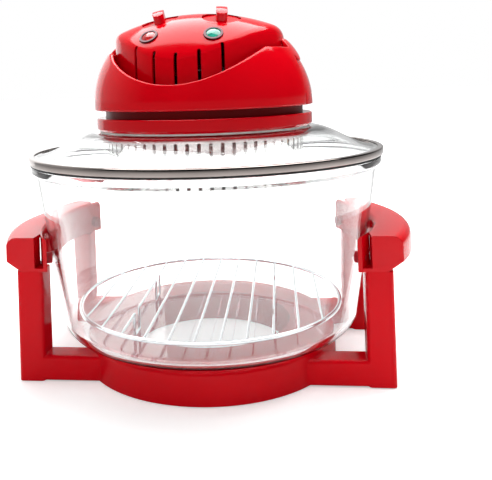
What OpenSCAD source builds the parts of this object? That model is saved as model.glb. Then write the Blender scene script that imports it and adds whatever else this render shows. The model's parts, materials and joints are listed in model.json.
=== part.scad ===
// Halogen oven: a glass bowl on a moulded stand, a lift-off glass lid,
// and a power head with lamp, fan, two dials and a swing-up carry handle.
// Units are millimetres. +Z is up, the front is -Y, and the origin lies
// on the table under the middle of the bowl.

/* [Bowl] */
// Outer radius of the bowl's rim
bowl_rim_r = 165.3; // [162:0.1:169]
// Height of the bowl from its foot to its rim
bowl_h = 159.8; // [150:0.2:175]
// Thickness of the bowl's glass
bowl_wall = 4.5; // [3.5:0.1:6]
// Radius of the bowl's flat foot
foot_r = 106; // [98:1:110]
// Height of the thick rim flange
flange_h = 6.5; // [5:0.5:9]

/* [Stand] */
// Width of an upright, across the front
post_w = 23.5; // [20:0.5:28]
// Depth of an upright, front to back
post_d = 24; // [20:0.5:28]
// Distance from the middle to an upright's centre line, front to back
post_y = 66; // [60:1:72]
// Height of the rails that join ring and uprights
rail_h = 22; // [16:1:28]
// Height of the uprights
post_h = 97; // [88:1:105]
// Height of the round base ring
ring_h = 29; // [27:0.5:33]
// Wall thickness of the moulded frame
frame_wall = 3; // [2:0.2:4]
// Radius of the frame's rounded edges
edge_r = 3.5; // [2:0.5:5]
// Height that the rubber feet stand proud
foot_proud = 0.8; // [0.5:0.1:2]

/* [Grips] */
// Radial width of a side grip
grip_t = 33; // [28:1:38]
// Height of a side grip
grip_h = 30; // [26:1:34]
// Distance from the middle to a grip's end face
grip_end = 80; // [79:1:84]
// Wall thickness of a grip
grip_wall = 3; // [2:0.2:4]
// Gap between the bowl and a grip's inner wall
grip_gap = 4; // [3:0.5:8]

/* [Lid] */
// Thickness of the lid's glass
lid_wall = 4.5; // [3.5:0.1:5]
// Rise of the lid from its rim to its flat land
lid_rise = 20; // [16:1:26]
// Height of the steel band round the lid
band_h = 6.5; // [6:0.1:7]
// Thickness of the steel band
band_t = 0.8; // [0.5:0.1:1]
// Thickness of the silicone rim seal
seal_h = 1.2; // [0.8:0.1:2]

/* [Lamp can] */
// Outer radius of the slotted can round lamp and fan
can_r = 94.3; // [92:0.1:97]
// Depth of the can below the lid's land
can_drop = 24.3; // [22:0.1:27]
// Thickness of the can's sheet
can_t = 1; // [0.6:0.1:1.4]
// Number of slots round the can
can_slots = 60; // [40:2:72]
// Width of a can slot
can_slot_w = 3.2; // [2:0.1:3.6]
// Radius of the lamp's ring
lamp_r = 62; // [58:1:66]
// Radius of the lamp's glass tube
lamp_tube_r = 5; // [4:0.5:6]
// Outer radius of the hot air fan
fan_r = 46; // [38:1:48]
// Number of hot air fan blades
fan_blades = 8; // [5:1:12]
// Radius of the motor shaft
shaft_r = 2.5; // [2:0.1:3]

/* [Head] */
// Turn of the lid and head on the bowl, seen from above
head_turn = -8.5; // [-180:0.5:180]
// Height of the collar ring
collar_h = 11.9; // [10:0.1:15]
// Height of the recessed neck above the collar
neck_h = 7; // [6:0.5:10]
// Radius of the control dome
dome_r = 80.5; // [79:0.5:82]
// Height of the dome above the neck
dome_h = 88.5; // [86:0.5:89]
// Radius of the panel's curve, front to back
panel_r = 86; // [84:1:90]
// Radius of the panel's curve, side to side
arch_r = 200; // [170:5:230]
// Wall thickness of the dome and the rear housing
shell_t = 2.5; // [2:0.1:3]
// Radius of the skirt's big shoulder curve
skirt_r = 80.5; // [80:0.5:82]
// Wall thickness of the carry handle
handle_t = 3; // [2.4:0.1:3.5]
// Number of cooling slots under the panel
dome_slots = 5; // [3:1:7]
// Width of a cooling slot
slot_w = 3; // [2:0.2:3.6]
// Angle between cooling slots
slot_pitch = 13.4; // [12:0.1:15]

/* [Controls] */
// Distance of a dial from the middle plane
knob_x = 29.5; // [26:0.5:30]
// Distance of a dial in front of the axis
knob_y = 38; // [34:0.5:39]
// Radius of a dial's well
well_r = 18; // [16:0.5:19]
// Depth of a dial's well
well_d = 5; // [4:0.5:6]
// Height of a dial's bar grip above the panel
bar_h = 8.5; // [7:0.5:10]
// Width of a dial's bar grip
bar_w = 10; // [7:0.5:12]
// Turn of the bar grips from front to back
bar_turn = 15; // [-45:1:45]
// Distance of an indicator lens from the middle plane
lens_x = 29.6; // [26:0.2:32]
// Distance of an indicator lens in front of the axis
lens_y = 70; // [67:0.5:71]
// Outer radius of an indicator's bezel
bezel_r = 8.5; // [7:0.5:9.5]

/* [Rack] */
// Gap between the middle of the rack's ring wire and the bowl's wall
rack_gap = 12.4; // [10:0.2:24]
// Height of the rack's feet
rack_foot = 20; // [12:1:26]
// Number of parallel wires on the rack
rack_wires = 11; // [9:2:13]
// Radius of the rack's thin wires
rack_wire_r = 1.2; // [0.9:0.1:1.6]

/* [Hidden] */
$fn = 72;

e = 0.01;            // overshoot of a cut past the face it opens
far = 400;           // longer than any part of the oven
seat_gap = 0.3;      // air between lift-off pieces and their seats
fit = 0.05;          // radial air between a shaft or screw and its bore
slip = 0.2;          // air round a piece that is pushed into a pocket
red = [0.82, 0.04, 0.07];
dark_red = [0.45, 0.02, 0.04];
steel = [0.72, 0.72, 0.74];
clear_glass = [0.85, 0.93, 0.95, 0.35];
black = [0.12, 0.12, 0.13];
white = [0.93, 0.92, 0.88];
brass = [0.78, 0.62, 0.25];

// Bowl profile: foot, two corner curves, sloping wall and rim flange
seat_step = 0.4;                             // rise of the ring's lip round the seat
corner_r1 = 61;                              // wide curve under the belly
corner_r2 = 16.8;                            // tight curve up to the wall
corner_a1 = 23;                              // slope where the curves meet
corner_a2 = 81.3;                            // slope of the wall
flange_out = 5.1;                            // how far the rim stands out
seat_z = foot_proud + ring_h - seat_step;    // top face of the bowl's seat
bowl_z = seat_z + seat_gap;                  // underside of the bowl
rim_z = bowl_z + bowl_h;                     // top of the bowl's rim
knee1 = [foot_r + corner_r1 * sin(corner_a1), bowl_z + corner_r1 * (1 - cos(corner_a1))];
knee2 = knee1 + corner_r2 * [sin(corner_a2) - sin(corner_a1), cos(corner_a1) - cos(corner_a2)];
wall_top = [bowl_rim_r - flange_out, rim_z - flange_h - 3];
function bowl_r(z) = knee2[0] + (z - knee2[1]) * (wall_top[0] - knee2[0]) / (wall_top[1] - knee2[1]);

// Points of an arc about c, from angle a to angle b in n steps
function arc(c, r, a, b, n = 8) =
  [for (i = [0:n]) let (t = a + (b - a) * i / n) c + r * [cos(t), sin(t)]];

// Stand
frame_z = foot_proud;
post_top = frame_z + post_h;
grip_top = post_top + grip_h;
grip_in_r = bowl_r(grip_top) + grip_gap;
grip_r = grip_in_r + grip_t;
boss_r = 6;                                  // screw boss in a grip's end
screw_at = grip_in_r + grip_wall + boss_r + 0.4;
post_x = sqrt(screw_at * screw_at - post_y * post_y);
ring_r = foot_r + 12.6;
ring_bore_r = foot_r - 30;
ring_round = 5.5;                            // rounding of the ring's shoulder
screw_r = 2;                                 // grip screw shank
screw_head_r = 4;
screw_head_h = 2.6;
post_cap = 10;                               // solid top of an upright
cap_floor = 3;                               // floor of a grip's end
pad_r = 5;                                   // bowl pad
pad_a = 27;                                  // pad angle from the side
pad_z = post_top + 10;

// Lid and head, from the bowl's rim upward
seal_z = rim_z + seat_gap;
band_z = seal_z + seal_h;
band_r = bowl_rim_r + 2.2;
lid_r = band_r - band_t - slip;
lid_edge_z = band_z + band_t + slip;
land_z = lid_edge_z + lid_wall + lid_rise;   // flat top of the lid by the collar
lid_hole_r = can_r + 2.2;
land_r = can_r + 13;
gasket_h = 1.3;
collar_z = land_z + gasket_h;
collar_r = can_r + 9.2;
collar_bore_r = can_r + 3.3;
shelf_r = can_r - 8.3;                       // inner edge of the collar's shelf
shelf_z = collar_z + 4.4;
neck_z = collar_z + collar_h;
neck_r = can_r + 0.7;
rim_plate_z = neck_z + neck_h;               // underside of the head's plate
rim_plate_t = 3;
rim_plate_r = neck_r + 3.5;
floor_t = 2.5;
floor_z = neck_z + floor_t;                  // floor inside the head
head_bottom = rim_plate_z + 0.3;             // lower edge of handle and housing
dome_y = -(88.5 - dome_r);                   // dome's axis, keeps its front face
crown_y = -14;
crown_z = rim_plate_z + dome_h;              // top of the dome
tube_z = crown_z - panel_r;
arch_z = crown_z - arch_r;
dome_back = 14;                              // the dome stops here, the housing starts
head_r = can_r + 10.2;
rear_arc_r = head_r - skirt_r;
rear_arc_z = rim_plate_z + 1.5;
handle_y = -3;
handle_r = head_r - 0.5;
handle_arc_r = handle_r - skirt_r;
handle_arc_z = rim_plate_z + 7.5;
handle_back = -22.5;                         // rear edge of the carry handle
handle_gap = 1.5;                            // air between handle and housing
edge_top_z = rim_plate_z + 63;               // top of the handle's smile curve
edge_drop = 36;                              // its drop from the side to the front
edge_reach = 100;                            // distance of that drop from the axis
edge_curve_r = (edge_reach * edge_reach + edge_drop * edge_drop) / (2 * edge_drop);
ear_top_z = rim_plate_z + 53;                // flat top of the handle's ears
pivot_y = -12;
pivot_z = rim_plate_z + 51.3;
pivot_r = 3.5;
pivot_boss_r = 8;
lobe_r = 10.5;                               // round rear end of the handle's ears
ear_neck = 6;                                // depth of the ear's neck below the pivot
ear_clear_r = 22;                            // reach of the flat inner face round a pivot
boss_gap = 0.3;
switch_mid_z = rim_plate_z + 10;
plunger_out = 1.9;                           // reach of the switch plunger past the dome
plunger_r = 2;

// Dial and lens places on the panel, with the surface normal there
function panel_z(x, y) =
  arch_z + sqrt(pow(arch_r - panel_r + sqrt(panel_r * panel_r - pow(y - crown_y, 2)), 2) - x * x);
function tube_mid(x, y) =
  let (q = norm([x, panel_z(x, y) - arch_z]))
  [x / q * (arch_r - panel_r), crown_y, arch_z + (panel_z(x, y) - arch_z) / q * (arch_r - panel_r)];
function panel_normal(x, y) = ([x, y, panel_z(x, y)] - tube_mid(x, y)) / panel_r;
module on_panel(x, y) {
  n = panel_normal(x, y);
  translate([x, y, panel_z(x, y)])
    rotate([0, acos(n[2]), atan2(n[1], n[0])]) children();
}
module head_frame() { rotate([0, 0, head_turn]) children(); }
module ring_solid(r_in, r_out, z0, z1) {
  rotate_extrude() translate([r_in, z0]) square([r_out - r_in, z1 - z0]);
}
module round_rect(w, d, r) {
  square([w - 2 * r, d], center = true);
  square([w, d - 2 * r], center = true);
  for (x = [-1, 1], y = [-1, 1]) translate([x * (w / 2 - r), y * (d / 2 - r)]) circle(r);
}
module four_ways() {
  for (x = [0, 1], y = [0, 1]) mirror([x, 0, 0]) mirror([0, y, 0]) children();
}

// ---------- Stand ----------
module ring_profile() {
  polygon(concat(
    [[ring_bore_r, frame_z], [ring_r, frame_z]],
    arc([ring_r - ring_round, frame_z + ring_h - ring_round], ring_round, 0, 90, 6),
    [[foot_r, seat_z], [ring_bore_r, seat_z]]));
}
module post() {
  translate([post_x, post_y, frame_z]) linear_extrude(post_h) round_rect(post_w, post_d, edge_r);
}
module rail() {
  x0 = sqrt(ring_r * ring_r - pow(post_y + post_d / 2, 2)) - 2;
  x1 = post_x + post_w / 2 - edge_r;
  translate([x0, post_y, frame_z + rail_h / 2]) rotate([90, 0, 90])
    linear_extrude(x1 - x0) round_rect(post_d, rail_h, edge_r);
}
module rail_hollow() {
  x0 = ring_r - 6;
  x1 = post_x - post_w / 2 - frame_wall;
  translate([x0, post_y - post_d / 2 + frame_wall, frame_z - e])
    cube([x1 - x0, post_d - 2 * frame_wall, rail_h - frame_wall]);
}
module post_hollow() {
  w = post_w - 2 * frame_wall;
  d = post_d - 2 * frame_wall;
  translate([post_x - w / 2, post_y - d / 2, frame_z - e]) cube([w, d, post_h - post_cap + e]);
  translate([post_x, post_y, frame_z]) cylinder(r = screw_r + slip, h = far);
  translate([post_x, post_y, post_top - post_cap - e])
    cylinder(r = screw_head_r + slip, h = screw_head_h + e);
}
module ring_hollow() {
  ring_solid(ring_bore_r + frame_wall, ring_r - frame_wall, frame_z - e, seat_z - frame_wall);
}
module stand_frame() {
  ribs = 12;
  color(red) union() {
    difference() {
      union() {
        rotate_extrude() ring_profile();
        four_ways() post();
        four_ways() rail();
      }
      difference() {
        ring_hollow();
        for (i = [0:ribs - 1]) rotate([0, 0, (i + 0.5) * 360 / ribs])
          translate([ring_bore_r, -frame_wall / 2, 0])
            cube([ring_r - ring_bore_r, frame_wall, seat_z]);
      }
      four_ways() post_hollow();
      four_ways() rail_hollow();
    }
  }
}
module grip_profile() {
  outer_round = 8;
  inner_round = 4;
  chamfer_w = 12;
  chamfer_h = 9;
  polygon(concat(
    [[grip_in_r, post_top], [grip_r - chamfer_w, post_top], [grip_r, post_top + chamfer_h]],
    arc([grip_r - outer_round, grip_top - outer_round], outer_round, 0, 90, 6),
    arc([grip_in_r + inner_round, grip_top - inner_round], inner_round, 90, 180, 4)));
}
module grip_hollow_profile() {
  round = 6;
  r0 = grip_in_r + grip_wall;
  r1 = grip_r - grip_wall;
  top = grip_top - grip_wall;
  polygon(concat([[r0, post_top + cap_floor], [r1, post_top + cap_floor]],
    arc([r1 - round, top - round], round, 0, 90, 6), [[r0, top]]));
}
module grip() {
  post_in = post_y - post_d / 2;
  end_wall = grip_end - grip_wall;
  notch_y = post_y - 2;
  notch_x = post_x - boss_r;
  difference() {
    union() {
      difference() {
        intersection() {
          rotate_extrude() grip_profile();
          translate([0, -grip_end, 0]) cube([far, 2 * grip_end, far]);
        }
        intersection() {
          rotate_extrude() grip_hollow_profile();
          translate([0, -end_wall, 0]) cube([far, 2 * end_wall, far]);
        }
        intersection() {
          ring_solid(grip_in_r + grip_wall, grip_r - grip_wall, post_top - 1, post_top + cap_floor + 1);
          translate([0, -post_in, 0]) cube([far, 2 * post_in, far]);
        }
        intersection() {
          ring_solid(grip_in_r + grip_wall, grip_r, post_top + cap_floor, grip_top + 1);
          union() {
            translate([0, notch_y, 0]) cube([notch_x, far, far]);
            translate([0, -notch_y - far, 0]) cube([notch_x, far, far]);
          }
        }
      }
      for (y = [-1, 1]) translate([post_x, y * post_y, post_top])
        cylinder(r = boss_r, h = grip_h - grip_wall + e);
    }
    for (y = [-1, 1]) {
      translate([post_x, y * post_y, post_top - 1])
        cylinder(r = screw_r + fit, h = 18);
      rotate([0, 0, y * pad_a]) translate([grip_in_r - 1, 0, pad_z]) rotate([0, 90, 0])
        cylinder(r = pad_r / 2 + fit, h = grip_wall + 2);
    }
  }
}
module grip_right() { color(red) grip(); }
module grip_left() { color(red) mirror([1, 0, 0]) grip(); }
module grip_screws() {
  seat = post_top - post_cap + screw_head_h;
  color(steel) four_ways() translate([post_x, post_y, seat]) {
    translate([0, 0, -screw_head_h]) difference() {
      cylinder(r = screw_head_r, h = screw_head_h);
      translate([-screw_head_r, -0.5, -e]) cube([2 * screw_head_r, 1, 1.2]);
    }
    cylinder(r = screw_r, h = post_cap - screw_head_h + 16);
  }
}
module stand_feet() {
  w = post_w - 2 * frame_wall - 2 * slip;
  d = post_d - 2 * frame_wall - 2 * slip;
  color(black) four_ways() translate([post_x, post_y, 0]) difference() {
    linear_extrude(6) round_rect(w, d, 2);
    for (i = [-1:1]) translate([i * w / 4 - 0.6, -d, -e]) cube([1.2, 2 * d, 0.5]);
  }
}
module bowl_pads() {
  face = bowl_r(pad_z + pad_r) + seat_gap;
  color(white) four_ways() rotate([0, 0, pad_a]) translate([face, 0, pad_z]) rotate([0, 90, 0]) {
    cylinder(r = pad_r, h = grip_in_r - 0.1 - face);
    cylinder(r = pad_r / 2, h = grip_in_r + grip_wall - face);
  }
}

// ---------- Bowl and rack ----------
module bowl_section(t) {
  // Outer line from the foot to the rim; t moves it inward by the wall
  c1 = [foot_r, bowl_z + corner_r1];
  c2 = knee1 + corner_r2 * [-sin(corner_a1), cos(corner_a1)];
  slope = [sin(corner_a2), -cos(corner_a2)];
  polygon(concat(
    [[0, bowl_z + t]],
    arc(c1, corner_r1 - t, -90, -90 + corner_a1, 5),
    arc(c2, corner_r2 - t, -90 + corner_a1, -90 + corner_a2, 8),
    [wall_top - t * slope, [wall_top[0] - t, t > 0 ? rim_z + 1 : wall_top[1]],
     [0, t > 0 ? rim_z + 1 : wall_top[1]]]));
}
module glass_bowl() {
  color(clear_glass) rotate_extrude() difference() {
    union() {
      bowl_section(0);
      polygon([[0, wall_top[1]], wall_top, [bowl_rim_r - 0.8, rim_z - flange_h],
        [bowl_rim_r, rim_z - flange_h + 0.8], [bowl_rim_r, rim_z - 1],
        [bowl_rim_r - 1, rim_z], [0, rim_z]]);
    }
    bowl_section(bowl_wall);
    translate([-far, -far]) square([far, 3 * far]);
  }
}
rack_z = bowl_z + bowl_wall + seat_gap + rack_foot;   // middle of the rack's wires
rack_ring_r = 1.8;                           // radius of the rack's ring wire
rack_r = floor(bowl_r(rack_z) - bowl_wall - rack_gap);   // bent to a whole millimetre
rack_pitch = 2 * rack_r / (rack_wires + 1);
module wire(a, b, r) {
  d = b - a;
  translate(a) rotate([0, acos(d[2] / norm(d)), atan2(d[1], d[0])]) cylinder(r = r, h = norm(d), $fn = 16);
}
module rack_bend(p) { translate(p) sphere(rack_wire_r, $fn = 16); }
module rack_footed_wire(x) {
  foot_y = rack_r * 0.4;
  foot_w = 9;
  end_y = sqrt(rack_r * rack_r - x * x);
  low = rack_z - rack_foot + rack_wire_r;
  for (s = [-1, 1]) {
    wire([x, s * (foot_y + foot_w), rack_z], [x, s * end_y, rack_z], rack_wire_r);
    wire([x, s * (foot_y + foot_w), rack_z], [x, s * (foot_y + foot_w), low], rack_wire_r);
    wire([x, s * (foot_y - foot_w), low], [x, s * (foot_y + foot_w), low], rack_wire_r);
    wire([x, s * (foot_y - foot_w), rack_z], [x, s * (foot_y - foot_w), low], rack_wire_r);
    for (y = [foot_y - foot_w, foot_y + foot_w], z = [rack_z, low]) rack_bend([x, s * y, z]);
  }
  wire([x, -(foot_y - foot_w), rack_z], [x, foot_y - foot_w, rack_z], rack_wire_r);
}
module wire_rack() {
  half = (rack_wires - 1) / 2;
  color(steel) union() {
    translate([0, 0, rack_z]) rotate_extrude() translate([rack_r, 0])
      circle(r = rack_ring_r, $fn = 16);
    for (i = [-half:half]) {
      x = i * rack_pitch;
      end_y = sqrt(rack_r * rack_r - x * x);
      if (abs(i) == half - 2) rack_footed_wire(x);
      else wire([x, -end_y, rack_z], [x, end_y, rack_z], rack_wire_r);
    }
  }
}

// ---------- Lid ----------
module lid_section() {
  // Upper line of the glass, from its edge up to the land; the lower line lies one wall below
  edge = lid_edge_z + lid_wall;
  steps = 8;
  r0 = lid_r - 8;
  function top(f) = [r0 + (land_r - r0) * f, edge + lid_rise * (0.35 * f + 0.65 * (1 - cos(180 * f)) / 2 )];
  upper = [for (i = [0:steps]) top(i / steps)];
  polygon(concat([[lid_r, edge]], upper, [[lid_hole_r, land_z], [lid_hole_r, land_z - lid_wall]],
    [for (i = [steps:-1:0]) upper[i] - [0, lid_wall]], [[lid_r, edge - lid_wall]]));
}
module glass_lid() { color(clear_glass) rotate_extrude() lid_section(); }
module lid_rim_band() {
  lip = 5;
  color(steel) {
    difference() {
      rotate_extrude() polygon([[band_r - lip, band_z], [band_r - 0.5, band_z], [band_r, band_z + 0.5],
        [band_r, band_z + band_h - 0.5], [band_r - 0.5, band_z + band_h], [band_r - lip, band_z + band_h]]);
      ring_solid(band_r - lip - 1, band_r - band_t, band_z + band_t, band_z + band_h - band_t);
    }
  }
}
module rim_seal() {
  color(black) ring_solid(bowl_rim_r - 4.5, bowl_rim_r + 1, seal_z, band_z);
}
module collar_ring() {
  chamfer = 2;
  head_frame() color(red) difference() {
    rotate_extrude() polygon([[collar_bore_r, collar_z], [collar_r - chamfer, collar_z],
      [collar_r, collar_z + chamfer], [collar_r, neck_z - 0.8], [collar_r - 0.8, neck_z],
      [shelf_r, neck_z], [shelf_r, shelf_z], [collar_bore_r, shelf_z]]);
    can_screw_places() cylinder(r = can_screw_r + fit, h = far);
  }
}
module collar_gasket() {
  color(black) ring_solid(collar_bore_r + 0.3, collar_r - 2.6, land_z, collar_z);
}

// ---------- Lamp can ----------
can_z = land_z - can_drop;
can_top = shelf_z;
can_flange_t = 1.2;
can_screw_r = 1.5;
can_screw_head_r = 2.8;
can_screw_head_h = 2;
can_screw_at = can_r - 4.3;
can_screw_n = 6;
bead_z = land_z - lid_wall - 0.2;            // top of the bead that carries the glass
slot_low = can_z + 3;
slot_high = bead_z - 2;
module can_screw_places() {
  for (i = [0:can_screw_n - 1]) rotate([0, 0, 15 + i * 360 / can_screw_n])
    translate([can_screw_at, 0, 0]) children();
}
module can_slot_shape() {
  straight = slot_high - slot_low - can_slot_w;
  square([can_slot_w, straight], center = true);
  for (y = [-1, 1]) translate([0, y * straight / 2]) circle(d = can_slot_w);
}
module guard_can() {
  head_frame() color(steel) difference() {
    union() {
      ring_solid(can_r - can_t, can_r, can_z, can_top);
      ring_solid(can_r - can_t - 3, can_r - e, can_z, can_z + can_t);
      ring_solid(shelf_r - 4, can_r, can_top - can_flange_t, can_top);
      rotate_extrude() polygon([[can_r - e, bead_z - 1.2], [lid_hole_r + 2, bead_z - 0.8],
        [lid_hole_r + 2, bead_z], [can_r - e, bead_z]]);
    }
    for (i = [0:can_slots - 1]) rotate([0, 0, i * 360 / can_slots])
      translate([can_r - 3, 0, (slot_low + slot_high) / 2]) rotate([90, 0, 90])
        linear_extrude(5) can_slot_shape();
    can_screw_places() cylinder(r = can_screw_r + fit, h = far);
  }
}
module can_grille() {
  rings = [22, 38, 54, 70];
  head_frame() color(steel) difference() {
    translate([0, 0, can_z + can_t]) cylinder(r = can_r - can_t - 0.1, h = 1);
    for (j = [0:len(rings) - 1]) {
      n = 6 + 6 * j;
      for (i = [0:n - 1]) rotate([0, 0, (i + j / 2) * 360 / n])
        translate([rings[j], -1.7, can_z]) cube([11, 3.4, 5]);
    }
    translate([0, 0, can_z]) cylinder(r = 6, h = 5);
  }
}
module can_screws() {
  head_frame() color(steel) can_screw_places() {
    translate([0, 0, can_top - can_flange_t - can_screw_head_h])
      cylinder(r = can_screw_head_r, h = can_screw_head_h);
    translate([0, 0, can_top - can_flange_t]) cylinder(r = can_screw_r, h = floor_z - can_top + can_flange_t);
  }
}
shield_t = 1.2;
shaft_hole_r = shaft_r + 4;
module lead_holes() {
  for (a = [81, 99]) rotate([0, 0, a]) translate([lamp_r, 0, 0]) cylinder(r = 3, h = far);
}
module heat_shield() {
  head_frame() color(steel) difference() {
    translate([0, 0, can_top]) cylinder(r = shelf_r - 0.4, h = shield_t);
    cylinder(r = shaft_hole_r, h = far);
    lead_holes();
  }
}
pan_t = 1;
pan_rim_z = can_top - can_flange_t;          // the pan hangs from the can's flange
pan_z = pan_rim_z - 7;                       // underside of the pan's flat
pan_flat_r = shelf_r - 16;
module reflector_pan() {
  pan_rim_r = can_screw_at - can_screw_head_r - 0.5;
  head_frame() color(steel) difference() {
    rotate_extrude() polygon([[0, pan_z], [pan_flat_r, pan_z], [shelf_r - 5, pan_rim_z - pan_t],
      [pan_rim_r, pan_rim_z - pan_t], [pan_rim_r, pan_rim_z], [shelf_r - 5.6, pan_rim_z],
      [pan_flat_r - 0.6, pan_z + pan_t], [0, pan_z + pan_t]]);
    cylinder(r = shaft_hole_r, h = far);
    lead_holes();
  }
}
lamp_z = pan_z - 4.5 - lamp_tube_r;          // middle of the lamp's tube
lamp_gap_a = 26;                             // opening of the lamp's ring at the back
module halogen_lamp() {
  head_frame() color(white) union() {
    translate([0, 0, lamp_z]) difference() {
      rotate_extrude() translate([lamp_r, 0]) circle(r = lamp_tube_r, $fn = 32);
      linear_extrude(far, center = true)
        polygon([[0, 0], 2 * lamp_r * [sin(lamp_gap_a / 2), cos(lamp_gap_a / 2)],
          2 * lamp_r * [-sin(lamp_gap_a / 2), cos(lamp_gap_a / 2)]]);
    }
  }
}
module lamp_end_caps() {
  cap_w = 14;
  head_frame() color(white) for (s = [-1, 1]) rotate([0, 0, 90 + s * lamp_gap_a / 2])
    translate([lamp_r - 7, s > 0 ? -9.1 : 0.1, lamp_z - 6.5]) difference() {
      cube([cap_w, 9, pan_z - lamp_z + 6.5]);
      translate([cap_w / 2, -1, 6.5 - 0.6]) cube([1.2, 11, 1.2]);
    }
}
module lamp_clips() {
  clip_w = 5;
  head_frame() color(steel) for (a = [-30, 210, 270]) rotate([0, 0, a]) {
    translate([lamp_r, clip_w / 2, lamp_z]) rotate([90, 0, 0]) difference() {
      cylinder(r = lamp_tube_r + 1.3, h = clip_w);
      translate([0, 0, -1]) cylinder(r = lamp_tube_r + 0.25, h = clip_w + 2);
      translate([-3, -far, -1]) cube([6, far, clip_w + 2]);
    }
    translate([lamp_r - 1, -clip_w / 2, lamp_z + lamp_tube_r + 1])
      cube([2, clip_w, pan_z - lamp_z - lamp_tube_r - 1]);
  }
}
probe_r = 3;
probe_x = can_r - 12;
probe_z = lamp_z + 2;
module thermostat_probe() {
  head_frame() color(brass) translate([probe_x, 0, probe_z]) rotate([90, 0, 0])
    cylinder(r = probe_r, h = 50, center = true);
}
module probe_clips() {
  head_frame() color(steel) for (y = [-16, 16]) translate([probe_x, y, probe_z]) {
    rotate([90, 0, 0]) difference() {
      cylinder(r = probe_r + 1.2, h = 4, center = true);
      cylinder(r = probe_r + 0.1, h = 5, center = true);
    }
    translate([-0.6, -2, probe_r + 0.6]) cube([1.2, 4, pan_rim_z - pan_t - probe_z - probe_r - 0.6]);
  }
}

// ---------- Head: base and shells ----------
dome_screw_a = [10, 170, 215, 325];
dome_screw_at = dome_r - 6.2;
housing_post_a = [30, 90, 150];
housing_post_at = shelf_r - 4;
head_screw_r = 1.5;
head_screw_head_r = 3;
module dome_screw_places() {
  for (a = dome_screw_a) translate([0, dome_y, 0]) rotate([0, 0, a])
    translate([dome_screw_at, 0, 0]) children();
}
module housing_screw_places() {
  for (a = housing_post_a) rotate([0, 0, a]) translate([housing_post_at, 0, 0]) children();
}
motor_post = [20, 14];
motor_z = floor_z + 19;                      // underside of the stator
motor_h = 16;
motor_back = 36;
dome_post_h = 14;                            // screw posts inside the dome
housing_screw_grip = 7;                      // thread of a housing screw above the floor
module head_base() {
  head_frame() color(dark_red) difference() {
    union() {
      translate([0, 0, neck_z]) cylinder(r = neck_r, h = neck_h + e);
      translate([0, 0, rim_plate_z]) cylinder(r = rim_plate_r, h = rim_plate_t);
    }
    translate([0, 0, floor_z]) cylinder(r = neck_r - 3, h = far);
    cylinder(r = shaft_hole_r, h = far);
    can_screw_places() cylinder(r = can_screw_r + fit, h = far);
    dome_screw_places() cylinder(r = head_screw_r + fit, h = far);
    housing_screw_places() cylinder(r = head_screw_r + fit, h = far);
  }
}
module dome_screws() {
  head_frame() color(steel) dome_screw_places() head_screw(dome_post_h - 2);
}
module housing_screws() {
  head_frame() color(steel) housing_screw_places() head_screw(floor_t + housing_screw_grip);
}
module head_screw(l) {
  translate([0, 0, neck_z - 2]) cylinder(r = head_screw_head_r, h = 2);
  translate([0, 0, neck_z]) cylinder(r = head_screw_r, h = l);
}
module crown(o) {
  translate([0, crown_y, arch_z]) rotate([90, 0, 0]) rotate_extrude()
    translate([arch_r - panel_r, 0]) circle(r = panel_r + o);
}
module dome_solid(o, z0) {
  intersection() {
    translate([0, dome_y, z0]) cylinder(r = dome_r + o, h = far);
    crown(o);
  }
}
module pivot_axis(r, x0, x1) {
  for (s = [0, 1]) mirror([s, 0, 0]) translate([x0, pivot_y, pivot_z]) rotate([0, 90, 0])
    cylinder(r = r, h = x1 - x0);
}
pivot_face = dome_r + 0.5;                   // outer face of the dome's pivot bosses
ear_face = pivot_face + boss_gap;            // inner face of the handle's ears
pin_end = ear_face + 3.7;
module control_dome() {
  head_frame() color(red) difference() {
    union() {
      difference() {
        dome_solid(0, floor_z);
        dome_solid(-shell_t, floor_z - 1);
      }
      intersection() {
        dome_solid(0, floor_z);
        union() {
          for (s = [-1, 1]) on_panel(s * knob_x, -knob_y)
            translate([0, 0, -well_d - shell_t]) cylinder(r = well_r + shell_t, h = well_d + shell_t);
          for (s = [-1, 1]) on_panel(s * lens_x, -lens_y)
            translate([0, 0, -4]) cylinder(r = bezel_r + 1, h = 4);
          dome_screw_places() translate([0, 0, floor_z]) cylinder(r = 4.5, h = dome_post_h);
        }
      }
      intersection() {
        pivot_axis(pivot_boss_r, dome_r - 6, pivot_face);
        difference() {
          translate([-far, -far, 0]) cube(2 * far);
          dome_solid(-shell_t, floor_z - 1);
        }
      }
    }
    translate([-far, dome_back, 0]) cube(2 * far);
    for (s = [-1, 1]) on_panel(s * knob_x, -knob_y) {
      translate([0, 0, -well_d]) cylinder(r = well_r, h = far);
      translate([0, 0, -far / 4]) cylinder(r = 4, h = far / 2);
    }
    for (s = [-1, 1]) on_panel(s * lens_x, -lens_y) {
      translate([0, 0, -1]) cylinder(r = bezel_r + 0.1, h = far);
      translate([0, 0, -far / 8]) cylinder(r = 4.3, h = far / 4);
    }
    for (i = [0:dome_slots - 1]) rotate([0, 0, (i - (dome_slots - 1) / 2) * slot_pitch])
      dome_slot((i - (dome_slots - 1) / 2) * slot_pitch);
    pivot_axis(pivot_r + fit, dome_r - 6, dome_r + 6);
    dome_screw_places() cylinder(r = head_screw_r + fit, h = floor_z + dome_post_h - 2);
    translate([0, dome_y - dome_r - 1, switch_mid_z]) rotate([-90, 0, 0])
      cylinder(r = plunger_r + seat_gap, h = 6);
  }
}
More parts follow.
